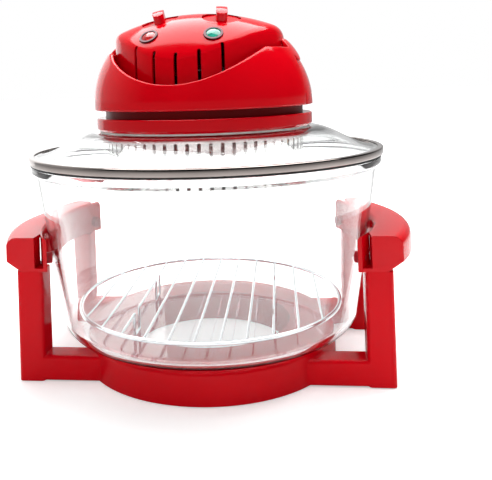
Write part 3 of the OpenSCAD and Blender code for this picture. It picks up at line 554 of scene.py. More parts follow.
class Tree(Nodes):
    """A material's node tree round one Principled shader."""

    noise_range: tuple[float, float] = (0.3, 0.7)  # most of what a noise gives
    tint_range: tuple[float, float] = (0.35, 0.65)
    edge_samples: int = 4

    def __init__(self, name: str) -> None:
        """Starts a material whose patterns read Object coordinates.

        Args:
            name: the material's name.
        """
        self.material = bpy.data.materials.new(name)
        self.material.use_nodes = True
        super().__init__(self.material.node_tree)
        self.shader = self.node("ShaderNodeBsdfPrincipled")
        self.join(self.shader.outputs["BSDF"], self.node("ShaderNodeOutputMaterial").inputs["Surface"])
        self.place = self.node("ShaderNodeTexCoord").outputs["Object"]

    def noise(self, scale: float, detail: float, stretch: Triple = (1, 1, 1)) -> Socket:
        """Noise on object coordinates.

        Args:
            scale: waves per metre.
            detail: octaves.
            stretch: factors on X, Y and Z before the noise is read.

        Returns:
            The noise's Fac output.
        """
        mapping = self.node("ShaderNodeMapping")
        mapping.inputs["Scale"].default_value = stretch
        noise = self.node("ShaderNodeTexNoise")
        noise.inputs["Scale"].default_value = scale
        noise.inputs["Detail"].default_value = detail
        self.join(self.place, mapping.inputs["Vector"])
        self.join(mapping.outputs["Vector"], noise.inputs["Vector"])
        return noise.outputs["Fac"]

    def tint(self, value: Socket, a: Triple, b: Triple) -> None:
        """Runs the base colour from one colour to another.

        Args:
            value: the value that drives it.
            a: the colour at the low end.
            b: the colour at the high end.
        """
        ramp = self.node("ShaderNodeValToRGB")
        for stop, at, colour in zip(ramp.color_ramp.elements, self.tint_range, (a, b)):
            stop.position = at
            stop.color = (*colour, 1)
        self.join(value, ramp.inputs["Fac"])
        self.join(ramp.outputs["Color"], self.shader.inputs["Base Color"])

    def bump(self, value: Socket, depth: float, strength: float = 1.0, round_edges: float = 0.0) -> None:
        """Raises the surface with a height value.

        Args:
            value: the height.
            depth: height in millimetres that the value's full range stands for.
            strength: share of the effect.
            round_edges: radius in millimetres over which the shading of sharp edges is rounded.
        """
        bump = self.node("ShaderNodeBump")
        bump.inputs["Strength"].default_value = strength
        bump.inputs["Distance"].default_value = depth * MM
        self.join(value, bump.inputs["Height"])
        if round_edges:
            edges = self.node("ShaderNodeBevel", samples=self.edge_samples)
            edges.inputs["Radius"].default_value = round_edges * MM
            self.join(edges.outputs["Normal"], bump.inputs["Normal"])
        self.join(bump.outputs["Normal"], self.shader.inputs["Normal"])

    def vary(self, colour: Triple, roughness: float, how: Variation) -> None:
        """Gives the shader a cloudy colour and a cloudy gloss.

        Args:
            colour: the middle colour.
            roughness: the middle roughness.
            how: scales and swings of both.
        """
        self.tint(self.noise(*how.cloud), shade(colour, how.shades[0]), shade(colour, how.shades[1]))
        low, high = (min(1.0, roughness * swing) for swing in how.swing)
        gloss = self.ramp(self.noise(*how.gloss), self.noise_range, (low, high))
        self.join(gloss, self.shader.inputs["Roughness"])

    def set(self, **sockets: object) -> None:
        """Sets the shader's own sockets by name, with _ for a space."""
        for key, value in sockets.items():
            self.shader.inputs[key.replace("_", " ")].default_value = value


@dataclass(frozen=True)
class MouldedPlastic:
    """Injection moulded plastic: faint flow marks in colour and gloss over a fine orange peel."""

    name: str
    colour: Triple
    roughness: float = 0.12
    peel: float = 0.012
    specular: float = 0.24
    edge: float = 0.8
    how: Variation = Variation((9.0, 4.0), (0.95, 1.05), (38.0, 5.0), (0.8, 1.25), (900.0, 2.0))

    def material(self) -> bpy.types.Material:
        """Builds the finish's nodes.

        Returns:
            The material.
        """
        t = Tree(self.name)
        t.vary(self.colour, self.roughness, self.how)
        t.bump(t.noise(*self.how.grain), self.peel, round_edges=self.edge)
        t.set(Specular_IOR_Level=self.specular)
        return t.material


@dataclass(frozen=True)
class PressedGlass:
    """Clear pressed glass: slow waves from the mould and a faint tint in its thickness."""

    name: str
    colour: Triple = (0.985, 0.995, 0.995)
    depth: float = 0.05
    roughness: float = 0.0
    waves: tuple[float, float] = (14.0, 2.0)
    strength: float = 0.5
    ior: float = 1.47

    def material(self) -> bpy.types.Material:
        """Builds the finish's nodes.

        Returns:
            The material.
        """
        t = Tree(self.name)
        t.bump(t.noise(*self.waves), self.depth, self.strength)
        t.set(Base_Color=(*self.colour, 1), Roughness=self.roughness, IOR=self.ior, Transmission_Weight=1.0)
        return t.material


class Grain(Enum):
    """Which way a metal's brush lines run: none, or round the vertical axis."""

    PLAIN = (1.0, 1.0, 1.0)
    ROUND = (0.02, 0.02, 1.0)


@dataclass(frozen=True)
class Metal:
    """Bare or plated metal with brush lines, cloudy gloss and small colour changes."""

    name: str
    colour: Triple
    roughness: float = 0.22
    grain: Grain = Grain.PLAIN
    depth: float = 0.004
    how: Variation = Variation((22.0, 5.0), (0.92, 1.06), (60.0, 6.0), (0.75, 1.35), (2600.0, 3.0))

    def material(self) -> bpy.types.Material:
        """Builds the finish's nodes.

        Returns:
            The material.
        """
        t = Tree(self.name)
        t.vary(self.colour, self.roughness, self.how)
        t.bump(t.noise(*self.how.grain, self.grain.value), self.depth)
        t.set(Metallic=1.0)
        return t.material


@dataclass(frozen=True)
class Rubber:
    """Matt rubber, silicone or ceramic: powdery gloss over a fine grain."""

    name: str
    colour: Triple
    roughness: float = 0.62
    depth: float = 0.02
    specular: float = 0.3
    how: Variation = Variation((60.0, 5.0), (0.85, 1.15), (140.0, 4.0), (0.85, 1.15), (2400.0, 3.0))

    def material(self) -> bpy.types.Material:
        """Builds the finish's nodes.

        Returns:
            The material.
        """
        t = Tree(self.name)
        t.vary(self.colour, self.roughness, self.how)
        t.bump(t.noise(*self.how.grain), self.depth)
        t.set(Specular_IOR_Level=self.specular)
        return t.material


@dataclass(frozen=True)
class LensPlastic:
    """Tinted clear plastic of an indicator lens, with fine facets that catch the light."""

    name: str
    colour: Triple
    facets: float = 650.0
    depth: float = 0.12
    strength: float = 0.6
    cloud: tuple[float, float] = (160.0, 2.0)
    shades: tuple[float, float] = (0.8, 1.3)

    def material(self) -> bpy.types.Material:
        """Builds the finish's nodes.

        Returns:
            The material.
        """
        t = Tree(self.name)
        cells = t.node("ShaderNodeTexVoronoi")
        cells.inputs["Scale"].default_value = self.facets
        t.join(t.place, cells.inputs["Vector"])
        t.bump(cells.outputs["Distance"], self.depth, self.strength)
        t.tint(t.noise(*self.cloud), shade(self.colour, self.shades[0]), shade(self.colour, self.shades[1]))
        t.set(Roughness=0.08, Transmission_Weight=0.35, IOR=1.49, Coat_Weight=0.6, Coat_Roughness=0.03)
        return t.material


@dataclass(frozen=True)
class BandedMetal:
    """Metal seen as fine level bands between dark seams: turns of wire or stacked sheets."""

    name: str
    colour: Triple
    bands: float
    wobble: float
    seam: float
    depth: float
    metallic: float
    roughness: float

    def material(self) -> bpy.types.Material:
        """Builds the finish's nodes.

        Returns:
            The material.
        """
        t = Tree(self.name)
        wave = t.node("ShaderNodeTexWave", bands_direction="Z")
        wave.inputs["Scale"].default_value = self.bands
        wave.inputs["Distortion"].default_value = self.wobble
        t.join(t.place, wave.inputs["Vector"])
        t.tint(wave.outputs["Fac"], shade(self.colour, self.seam), self.colour)
        t.bump(wave.outputs["Fac"], self.depth)
        t.set(Metallic=self.metallic, Roughness=self.roughness)
        return t.material


Finish = MouldedPlastic | PressedGlass | Metal | Rubber | LensPlastic | BandedMetal
RED = (0.68, 0.0, 0.006)
FINISHES: dict[str, Finish] = {
    finish.name: finish
    for finish in (
        MouldedPlastic("red_plastic", RED),
        MouldedPlastic("stand_plastic", RED, roughness=0.16, specular=0.14, edge=1.6),
        MouldedPlastic("dark_red_plastic", (0.17, 0.0, 0.002), roughness=0.35, specular=0.1),
        MouldedPlastic("white_plastic", (0.75, 0.74, 0.7), roughness=0.4),
        MouldedPlastic("black_plastic", (0.015, 0.015, 0.017), roughness=0.35),
        PressedGlass("bowl_glass"),
        PressedGlass("lid_glass"),
        PressedGlass("lamp_quartz", (0.95, 0.95, 0.93), depth=0.01, roughness=0.25),
        PressedGlass("neon_glass", (0.98, 0.85, 0.7), depth=0.0, roughness=0.05),
        Metal("screw_steel", (0.6, 0.6, 0.61), 0.3),
        Metal("chrome_wire", (0.72, 0.72, 0.74), 0.1),
        Metal("rim_steel", (0.40, 0.35, 0.33), 0.1, Grain.ROUND, 0.001),
        Metal("can_steel", (0.78, 0.77, 0.76), 0.2, Grain.ROUND),
        Metal("bright_pan", (0.82, 0.82, 0.84), 0.14),
        Metal("copper_brass", (0.72, 0.5, 0.2), 0.25),
        Metal("bezel_chrome", (0.09, 0.055, 0.06), 0.3),
        Rubber("black_rubber", (0.02, 0.02, 0.02)),
        Rubber("red_silicone", (0.40, 0.004, 0.012), 0.45),
        Rubber("white_silicone", (0.72, 0.7, 0.66), 0.5),
        Rubber("white_ceramic", (0.78, 0.75, 0.7), 0.55),
        LensPlastic("red_lens", (0.7, 0.03, 0.03)),
        LensPlastic("green_lens", (0.03, 0.42, 0.3)),
        BandedMetal("lamination_steel", (0.4, 0.4, 0.42), 300.0, 0.0, 0.35, 0.1, 0.85, 0.45),
        BandedMetal("coil_copper", (0.5, 0.2, 0.08), 420.0, 0.4, 0.45, 0.15, 0.7, 0.35),
    )
}


@dataclass
class Wardrobe:
    """Hands out each finish's material, made once."""

    made: dict[str, bpy.types.Material] = field(default_factory=dict)

    def dress(self, piece: Piece, slot: str) -> None:
        """Gives a piece one finish all over.

        Args:
            piece: the piece or node.
            slot: the finish's name.
        """
        if slot not in self.made:
            self.made[slot] = FINISHES[slot].material()
        piece.data.materials.clear()
        piece.data.materials.append(self.made[slot])


@dataclass
class Builder:
    """What every sub-assembly needs: the wardrobe, and the slots and bodies of the frame's nodes."""

    wardrobe: Wardrobe
    slots: dict[str, str]
    bodies: dict[str, str]

    def keep(self, *nodes: str, finish: str | None = None) -> None:
        """Dresses the frame's own nodes.

        Args:
            nodes: the nodes' names.
            finish: one finish for all of them, or None for each one's own slot.
        """
        for name in nodes:
            self.wardrobe.dress(frame["nodes"][name], finish or self.slots[name])
            LOG.info("dressed node %s", name)

    def stand_for(self, piece: Piece, *nodes: str) -> Piece:
        """Lets a new piece take the place, body and finish of frame nodes.

        Args:
            piece: the new piece.
            nodes: the nodes that it replaces, all on one body.

        Returns:
            The piece.
        """
        slot = self.slots[nodes[0]]
        self.wardrobe.dress(piece, slot)
        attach(piece, self.bodies[nodes[0]])
        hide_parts(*nodes)
        LOG.info("piece %s for %s", piece.name, ", ".join(nodes))
        return piece

    def turned(self, profile: Array, sides: int, name: str, node: str) -> Piece:
        """A turned piece in a node's place.

        Args:
            profile: closed profile (r, z), in millimetres.
            sides: number of steps round the axis.
            name: the piece's name.
            node: the frame node that it replaces.

        Returns:
            The piece.
        """
        return self.stand_for(place(lathe(profile, sides).mesh(name), name, angle=TURNED_CREASE), node)

    def refine(self, node: str, width: float, segments: int = 3, angle: float = 35.0) -> Piece:
        """A merged copy of a frame node with rounded edges, in the node's place.

        Args:
            node: the frame node.
            width: width of the round, in millimetres.
            segments: pieces of the round.
            angle: edges sharper than this many degrees are rounded.

        Returns:
            The new piece.
        """
        work = bmesh.new()
        work.from_mesh(frame["nodes"][node].data)
        bmesh.ops.remove_doubles(work, verts=work.verts, dist=MERGE)
        flat = {"angle_limit": math.radians(ONE_FACE), "use_dissolve_boundaries": False}
        bmesh.ops.dissolve_limit(work, verts=work.verts, edges=work.edges, **flat)
        mesh = bpy.data.meshes.new(node + "_shape")
        work.to_mesh(mesh)
        work.free()
        piece = place(mesh, node + "_shape", angle=angle)
        soften(piece, width * MM, segments, angle)
        return self.stand_for(piece, node)


# ------------------------------------------------------------------ stand


@dataclass
class Stand(Builder):
    """Ring foot on four uprights, with two curved grips and the pads that steady the bowl, in millimetres."""

    edge: float = 1.6

    def build(self) -> None:
        """Rounds the edges of the frame and the grips, and dresses the screws, pads and feet."""
        for node in ("stand_frame", "grip_left", "grip_right"):
            self.refine(node, self.edge)
        self.keep("grip_screws", "stand_feet")
        self.keep("bowl_pads", finish="red_silicone")


# ------------------------------------------------------------------ glass bowl and rack


@dataclass
class Bowl(Builder):
    """Pressed glass bowl, in millimetres and degrees: foot, wide belly, tight knee, wall and rim flange."""

    foot_r: float = 106.0
    base_z: float = 29.7
    belly_r: float = 61.0
    belly_slope: float = 23.0
    knee_r: float = 16.8
    wall_slope: float = 81.3
    wall: float = 4.5
    wall_top: tuple[float, float] = (160.2, 180.0)
    rim_r: float = 165.3
    rim_z: float = 189.5
    flange_h: float = 6.5
    flange_tilt: float = 0.4
    rim_rounds: tuple[float, float, float, float] = (3.0, 1.6, 1.2, 1.4)  # under the flange to the mouth
    neck_h: float = 8.0
    arc_points: tuple[int, int] = (13, 19)
    step: float = 4.0
    sides: int = 288

    def curve(self, inset: float) -> Array:
        """Line from the axis to the top of the wall.

        The flat foot runs into a wide arc, which runs into a tight one, which ends in the straight
        sloping wall. An inset moves the line inwards along its normal.

        Args:
            inset: how far the line lies inside the outer one.

        Returns:
            Points (r, z).
        """
        a1, a2 = math.radians(self.belly_slope), math.radians(self.wall_slope)
        c1 = np.array([self.foot_r, self.base_z + self.belly_r])
        knee = c1 + self.belly_r * np.array([math.sin(a1), -math.cos(a1)])
        c2 = knee + self.knee_r * np.array([-math.sin(a1), math.cos(a1)])
        t1 = np.linspace(0, a1, self.arc_points[0])
        t2 = np.linspace(a1, a2, self.arc_points[1])[1:]
        wide = c1 + (self.belly_r - inset) * np.stack([np.sin(t1), -np.cos(t1)], axis=1)
        tight = c2 + (self.knee_r - inset) * np.stack([np.sin(t2), -np.cos(t2)], axis=1)
        top = np.array(self.wall_top) - inset * np.array([math.sin(a2), -math.cos(a2)])
        return np.concatenate([[[0.0, self.base_z + inset]], wide, tight, top[None]])

    def build(self) -> None:
        """Turns the bowl from its outer line, rounded rim flange and inner line, and dresses the rack."""
        outer, inner = self.curve(0.0), self.curve(self.wall)
        (top_r, top_z), mouth_r = self.wall_top, inner[-1][0]
        under, low_edge, high_edge, mouth = self.rim_rounds
        rim = outline(
            [
                (top_r, top_z - self.neck_h, 0),
                (top_r, top_z, under),
                (self.rim_r, self.rim_z - self.flange_h + self.flange_tilt, low_edge),
                (self.rim_r, self.rim_z, high_edge),
                (mouth_r, self.rim_z, mouth),
                (mouth_r, top_z - self.neck_h, 0),
            ]
        )[1:-1]
        line = np.concatenate([dense(outer[:-1], self.step), rim, dense(inner[:-1], self.step)[::-1]])
        self.turned(line, self.sides, "bowl_shell", "glass_bowl")
        self.keep("wire_rack")


# ------------------------------------------------------------------ glass lid


@dataclass
class Lid(Builder):
    """Glass lid with its steel rim band, seal and the collar that carries the head, in millimetres."""

    edge_r: float = 166.5
    edge_z: float = 192.0
    edge_flat_r: float = 158.5
    edge_lap: float = 2.0
    land_r: float = 107.3
    land_lap: float = 6.0
    hole_r: float = 96.5
    rise: float = 20.0
    even: float = 0.35  # share of the rise that is even along the way
    crown_points: int = 33
    wall: float = 4.5
    glass_round: float = 1.5
    band_r: float = 167.5
    band_lip: float = 5.0
    band_t: float = 0.8
    band_drop: float = 1.0
    band_play: float = 0.4
    band_rounds: tuple[float, ...] = (0.3, 1.1, 1.3, 0.35, 0.35, 0.5, 0.3, 0.3)
    collar_edge: float = 0.8
    sides: int = 288

    def crown(self, z: float) -> Array:
        """Lid's S curve from the edge to the land: part of its rise is even, the rest follows a cosine.

        Args:
            z: height of the curve's start.

        Returns:
            Points (r, z).
        """
        f = np.linspace(0, 1, self.crown_points)
        rise = self.rise * (self.even * f + (1 - self.even) * (1 - np.cos(np.pi * f)) / 2)
        return np.stack([self.edge_flat_r + (self.land_r - self.edge_flat_r) * f, z + rise], axis=1)

    def rim(self, near: float, far: float, z0: float, z1: float) -> Array:
        """A blunt glass edge with two rounded corners.

        Args:
            near: radius where the edge joins the curves.
            far: radius of the edge itself.
            z0: height of the face that it leaves.
            z1: height of the face that it comes back to.

        Returns:
            Points (r, z).
        """
        r = self.glass_round
        return outline([(near, z0, 0), (far, z0, r), (far, z1, r), (near, z1, 0)])

    def glass(self) -> None:
        """Turns the lid's glass: upper curve, hole's edge, lower curve and outer edge."""
        high = self.edge_z + self.wall
        land = high + self.rise
        hole = self.rim(self.land_r - self.land_lap, self.hole_r, land, land - self.wall)
        edge = self.rim(self.edge_flat_r + self.edge_lap, self.edge_r, self.edge_z, high)
        line = np.concatenate([self.crown(high), hole, self.crown(self.edge_z)[::-1], edge])
        self.turned(line, self.sides, "lid_shell", "glass_lid")

    def band(self) -> None:
        """Turns the folded steel band round the lid's edge: a foot, a wall and a rolled top lip."""
        r, t, low = self.band_r, self.band_t, self.edge_z - self.band_drop
        high = low + self.wall + 2 * t + self.band_play
        lip = r - self.band_lip
        outside = [(lip, low), (r, low), (r, high), (lip, high)]
        inside = [(lip, high - t), (r - t, high - t), (r - t, low + t), (lip, low + t)]
        line = outline([(*corner, bend) for corner, bend in zip(outside + inside, self.band_rounds)])
        self.turned(line, self.sides, "band_shell", "lid_rim_band")

    def build(self) -> None:
        """Makes the lid's turned pieces and dresses the rest."""
        self.glass()
        self.band()
        self.refine("collar_ring", self.collar_edge)
        self.keep("rim_seal", "collar_gasket")


# ------------------------------------------------------------------ heater under the lid


@dataclass
class Heater(Builder):
    """Slotted steel can with the halogen lamp, reflector, fan and probe."""

    def build(self) -> None:
        """Dresses the heater's own nodes."""
        self.keep("guard_can", "can_grille", "can_screws", "heat_shield", "reflector_pan", "halogen_lamp")
        self.keep("lamp_end_caps", "lamp_clips", "thermostat_probe", "probe_clips", "hot_fan", "fan_shaft")


# ------------------------------------------------------------------ head


@dataclass(frozen=True)
class Skirt:
    """Turned shoulder of the head: a short upright wall, then an arc up to a flat top, in millimetres."""

    centre_y: float
    arc_r: float
    arc_z: float
    bow: float
    low: float

    def radius_at(self, z: Array, depth: Array | float = 0.0) -> Array:
        """Radius at a height, a depth under the skin: the arc's centre radius plus its reach there."""
        up = np.clip(z - self.arc_z, 0, None)
        return self.arc_r + np.sqrt(np.clip((self.bow - depth) ** 2 - up**2, 0, None))


@dataclass
class HeadPart(Builder):
    """Anything on the turned head: the turn and the shape of the panel, in millimetres."""

    arch_r: float = 200.0
    panel_r: float = 86.0
    crown_y: float = -14.0
    dome_r: float = 80.5
    dome_y: float = -8.0
    dome_h: float = 88.5
    rim_plate_z: float = 236.7
    pivot: tuple[float, float] = (-12.0, 288.0)
    hair: float = 0.01

    def turn(self) -> Matrix:
        """The head's turn about Z, from the handle joint's axis, which runs along the head's -X."""
        axis = next(j for j in frame["joints"] if j["name"] == "handle_swing")["axis"]
        return Matrix.Rotation(math.atan2(-axis[1], -axis[0]), 4, "Z")

    def panel_z(self, x: Array, y: Array) -> Array:
        """Height of the panel: a circle from front to back, swung on a wide arc from side to side.

        Args:
            x: places from left to right.
            y: places from front to back.

        Returns:
            The heights.
        """
        arch_z = self.rim_plate_z + self.dome_h - self.arch_r
        reach = np.sqrt(np.clip(self.panel_r**2 - (y - self.crown_y) ** 2, 0, None))
        return arch_z + np.sqrt((self.arch_r - self.panel_r + reach) ** 2 - x**2)

    def height(self, x: float, y: float) -> float:
        """Height of the panel at one point."""
        return float(self.panel_z(np.array(x), np.array(y)))

    def slope(self, x: float, y: float, dx: float, dy: float) -> float:
        """Rise of the panel in direction (dx, dy), from its heights a hair to either side."""
        dx, dy = self.hair * dx, self.hair * dy
        return (self.height(x + dx, y + dy) - self.height(x - dx, y - dy)) / (2 * self.hair)

    def on_panel(self, x: float, y: float) -> Matrix:
        """Axes on the panel, Z along its normal, which is (-slope along X, -slope along Y, 1).

        Args:
            x: place from left to right.
            y: place from front to back.

        Returns:
            The matrix of the axes, its place in metres.
        """
        normal = Vector((-self.slope(x, y, 1, 0), -self.slope(x, y, 0, 1), 1)).normalized()
        side = Vector((0, 1, 0)).cross(normal).normalized()
        ahead = normal.cross(side)
        spot = (x, y, self.height(x, y))
        rows = [[side[k], ahead[k], normal[k], spot[k] * MM] for k in range(3)]
        return Matrix([*rows, [0, 0, 0, 1]])


@dataclass
class Handle(HeadPart):
    """Carry handle that swings over the dome: a visor whose ears end in round pivot lobes.

    Its border lines are points (azimuth from the middle of the front, height).
    """

    skirt: Skirt = Skirt(-3.0, 23.5, 244.2, 80.5, 237.0)
    back: float = -22.5
    smile_z: float = 299.7
    smile_r: float = 156.9
    smile_end: float = -40.0
    ear_top: float = 289.7
    ear_end: float = -24.0
    ear_face: float = 81.3
    lobe_r: float = 10.5
    lobe_blend: float = 5.0
    neck: float = 6.0
    neck_r: float = 2.0
    wall: float = 3.0
    edge: float = 1.2
    flattest: float = 0.1  # least squared steepness of the skin that the ears' thickness reckons with
    guess_z: float = 262.0  # height of the upper edge that the substitution starts from
    rounds: int = 60
    counts: tuple[int, int, int] = (120, 50, 61)  # points along front, ear and lobe
    fine: int = 60
    finest: int = 400
    neck_points: int = 7

    def surface(self, azimuth: Array, z: Array, depth: Array) -> Array:
        """Point of the handle's skin: radius from the skirt at that height, turned by the azimuth.

        Args:
            azimuth: angles from the middle of the front.
            z: heights.
            depth: depths under the skin.

        Returns:
            The points.
        """
        r = self.skirt.radius_at(z, depth)
        return np.stack([r * np.sin(azimuth), self.skirt.centre_y - r * np.cos(azimuth), z + 0 * r], axis=-1)

    def from_side(self, y: Array, z: Array) -> Array:
        """Azimuth and height of skin points given by y and z in the side view."""
        cosine = np.clip(-(y - self.skirt.centre_y) / self.skirt.radius_at(z), -1, 1)
        return np.stack([np.arccos(cosine), z + 0 * y], axis=1)

    def azimuth_at(self, y: float, z: float) -> float:
        """Azimuth of one skin point given in the side view."""
        return float(self.from_side(np.array([y]), np.array([z]))[0, 0])

    def top_at(self, azimuth: Array) -> Array:
        """Height of the visor's upper edge: a circle in the side view, found by repeated substitution.

        Args:
            azimuth: angles from the middle of the front.

        Returns:
            The heights, none above the ears' flat top.
        """
        z = np.full_like(azimuth, self.guess_z)
        for _ in range(self.rounds):
            y = self.skirt.centre_y - self.skirt.radius_at(z) * np.cos(azimuth)
            z = 0.5 * z + 0.5 * (self.smile_z - self.smile_r + np.sqrt(self.smile_r**2 - y**2))
        return np.minimum(z, self.ear_top)

    def lobe(self, start: float, end: float) -> Array:
        """Edge of the pivot lobe: a circle in the side view.

        Args:
            start: angle where it starts.
            end: angle where it ends.

        Returns:
            Border points.
        """
        sweep = np.linspace(start, end, self.fine)
        (y, z), r = self.pivot, self.lobe_r
        return self.from_side(y + r * np.cos(sweep), z + r * np.sin(sweep))

    def borders(self) -> tuple[Array, Array]:
        """Lower and upper border, from the middle of the front to the end of one ear.

        The lower one runs along the foot, up the ear's back edge and under the lobe, the upper one
        along the smile, the ear's flat top and over the lobe.

        Returns:
            Two lines of border points, with as many points each.
        """
        pz, low, n = self.pivot[1], self.skirt.low, self.fine
        front, ear, lobe = self.counts
        foot = np.stack([np.linspace(0, self.azimuth_at(self.back, low), front), np.full(front, low)], axis=1)
        neck_z = pz - self.neck - self.neck_r
        rise = self.from_side(np.full(n, self.back), np.linspace(low, neck_z, n))
        turn = np.linspace(0, math.pi / 2, self.neck_points)
        bend_y = self.back + self.neck_r - self.neck_r * np.cos(turn)
        bend = self.from_side(bend_y, neck_z + self.neck_r * np.sin(turn))
        under = self.lobe(math.pi + math.asin(self.neck / self.lobe_r), 2 * math.pi)
        azimuth = np.linspace(0, self.azimuth_at(self.smile_end, self.ear_top), self.finest)
        smile = np.stack([azimuth, self.top_at(azimuth)], axis=1)
        flat = self.from_side(np.linspace(self.smile_end, self.ear_end, n), np.full(n, self.ear_top))
        over = self.lobe(math.pi - math.asin((self.ear_top - pz) / self.lobe_r), 0)
        lows = [foot, resample(np.concatenate([rise, bend]), ear)[1:], resample(under, lobe)[1:]]
        highs = [resample(smile, front), resample(flat, ear)[1:], resample(over, lobe)[1:]]
        return np.concatenate(lows), np.concatenate(highs)

    def depth_inside(self, azimuth: Array, z: Array) -> Array:
        """Thickness of the handle: its wall, and towards the lobes enough to reach the ear's flat face.

        Args:
            azimuth: angles from the middle of the front.
            z: heights.

        Returns:
            The thickness at each point.
        """
        s, (py, pz) = self.skirt, self.pivot
        y = s.centre_y - s.radius_at(z) * np.cos(azimuth)
        gap = np.hypot(y - py, z - pz)
        blend = np.clip((self.lobe_r + self.lobe_blend - gap) / self.lobe_blend, 0, 1)
        blend = blend * blend * (3 - 2 * blend)
        x = np.sqrt(np.clip(s.radius_at(z, self.wall) ** 2 - (y - s.centre_y) ** 2, 0, None))
        spare = np.clip(x - self.ear_face, 0, None)
        steep = np.sqrt(np.clip(1 - ((z - s.arc_z) / s.bow) ** 2, self.flattest, 1))
        return self.wall + blend * spare * steep

    def build(self) -> None:
        """Makes the visor with its two ears, one half's borders mirrored for the other."""
        mirror = np.array([-1.0, 1.0])
        low, high = (np.concatenate([line[:0:-1] * mirror, line]) for line in self.borders())
        draft = Plate(self.surface, low, high, self.depth_inside, self.edge).draft()
        self.stand_for(place(draft.mesh("handle_shell"), "handle_shell", self.turn()), "carry_handle")


@dataclass
class RearHousing(HeadPart):
    """Rear half of the head, with the grooves of the vents and the inlet's opening, in millimetres.

    Its border lines are points (angle about Z, length up the skin from its lower edge).
    """

    skirt: Skirt = Skirt(0.0, 24.0, 238.2, 80.5, 237.0)
    front: float = -21.0
    notch_r: float = 12.0
    notch_end: float = 38.0
    split_y: float = 14.0
    split_gap: float = 0.3
    wall: float = 2.5
    edge: float = 0.8
    rows: int = 52
    foot_ends: tuple[float, ...] = (2.0, 20.0, 34.0, 90.0)  # degrees where the foot's stretches end
    counts: tuple[int, ...] = (40, 40, 30, 91)  # points along front edge, notch, cheek and top
    fine: int = 80
    finest: int = 200
    inlet_up: float = 17.0
    inlet_y: float = 60.0
    inlet_half: tuple[float, float] = (14.2, 10.2)
    frame_y: float = 94.0
    frame_half: tuple[float, float] = (18.5, 14.0)
    outside: float = 120.0
    vent_count: int = 9
    vent_pitch: float = 8.0
    vent_w: float = 3.0
    vent_up: float = 40.0
    vent_h: float = 16.0
    vent_points: int = 9
    groove: float = 1.7
    cheek_ends: tuple[float, float] = (3.2, 8.4)
    cheek_gap: float = 0.2
    cheek_sink: float = 1.0
    cheek_rows: int = 40

    def surface(self, turn: Array, along: Array, depth: Array) -> Array:
        """Point of the housing's skin, by angle about Z and by length up from the lower edge.

        The length runs up a short wall, round the shoulder's arc and over the flat top.

        Args:
            turn: angles about Z.
            along: lengths up the skin.
            depth: depths under the skin.

        Returns:
            The points.
        """
        s = self.skirt
        wall = s.arc_z - s.low
        psi = np.clip((along - wall) / s.bow, 0, math.pi / 2)
        top = np.clip(along - wall - s.bow * math.pi / 2, 0, None)
        r = s.arc_r + (s.bow - depth) * np.cos(psi) - top
        z = np.where(along < wall, s.low + along, s.arc_z + (s.bow - depth) * np.sin(psi))
        return np.stack([r * np.cos(turn), r * np.sin(turn), z], axis=-1)

    def even_wall(self, turn: Array, along: Array) -> Array:
        """The housing's thickness, the same at every point."""
        return np.full_like(turn, self.wall)

    def from_plan(self, x: Array, y: Array) -> Array:
        """Border points given from above: the arc's length up to a radius, plus what lies inside it.

        Args:
            x: places from left to right.
            y: places from front to back.

        Returns:
            The border points.
        """
        s = self.skirt
        r = np.hypot(x, y)
        arc = s.bow * np.arccos(np.clip((r - s.arc_r) / s.bow, 0, 1))
        return np.stack([np.arctan2(y, x), s.arc_z - s.low + arc + np.clip(s.arc_r - r, 0, None)], axis=1)

    def from_side(self, y: Array, z: Array) -> Array:
        """Border points on the right, given from the side: the wall's or the arc's length to a height.

        Args:
            y: places from front to back.
            z: heights.

        Returns:
            The border points.
        """
        s = self.skirt
        arc = s.bow * np.arcsin(np.clip((z - s.arc_z) / s.bow, 0, 1))
        along = np.where(z < s.arc_z, z - s.low, s.arc_z - s.low + arc)
        return np.stack([np.arcsin(np.clip(y / s.radius_at(z), -1, 1)), along], axis=1)

    def seam_x(self, y: Array | float, spare: float = 0.0) -> Array:
        """Half width of the seam round the dome's wall, which is a circle, at a place y."""
        return np.sqrt((self.dome_r + self.split_gap + spare) ** 2 - (y - self.dome_y) ** 2)

    def borders(self) -> tuple[Array, Array]:
        """Lower edge and upper border of the housing's right half, from its front foot to the back.

        The upper border climbs the front edge, goes round the notch for the handle's lobe, along the
        dome's wall and over the top beside the panel.

        Returns:
            Two lines of border points, with as many points each.
        """
        (py, pz), r, n = self.pivot, self.notch_r, self.fine
        drop = math.asin((self.front - py) / r)
        rise_z = np.linspace(self.skirt.low, pz - r * math.cos(drop), n)
        rise = self.from_side(np.full(n, self.front), rise_z)
        sweep = np.linspace(1.5 * math.pi + drop, 2 * math.pi + math.radians(self.notch_end), self.finest)
        side = np.stack([py + r * np.cos(sweep), pz + r * np.sin(sweep)], axis=1)
        skin_x = np.sqrt(np.clip(self.skirt.radius_at(side[:, 1]) ** 2 - side[:, 0] ** 2, 0, None))
        side = side[skin_x >= self.seam_x(side[:, 0])]
        notch = self.from_side(side[:, 0], side[:, 1])
        back = self.split_y + self.split_gap
        y = np.linspace(side[-1, 0], back, n)
        cheek = self.from_plan(self.seam_x(y), y)
        x = np.linspace(float(self.seam_x(back)), 0, self.finest)
        top = self.from_plan(x, np.full(self.finest, back))
        runs = zip((rise, notch, cheek, top), self.counts)
        high = np.concatenate([resample(line, count)[min(k, 1) :] for k, (line, count) in enumerate(runs)])
        start = math.asin(self.front / (self.skirt.arc_r + self.skirt.bow))
        ends = [start, *(math.radians(end) for end in self.foot_ends)]
        runs = zip(ends, ends[1:], self.counts)
        foot = np.concatenate([np.linspace(a, b, count)[min(k, 1) :] for k, (a, b, count) in enumerate(runs)])
        return np.stack([foot, np.zeros_like(foot)], axis=1), high

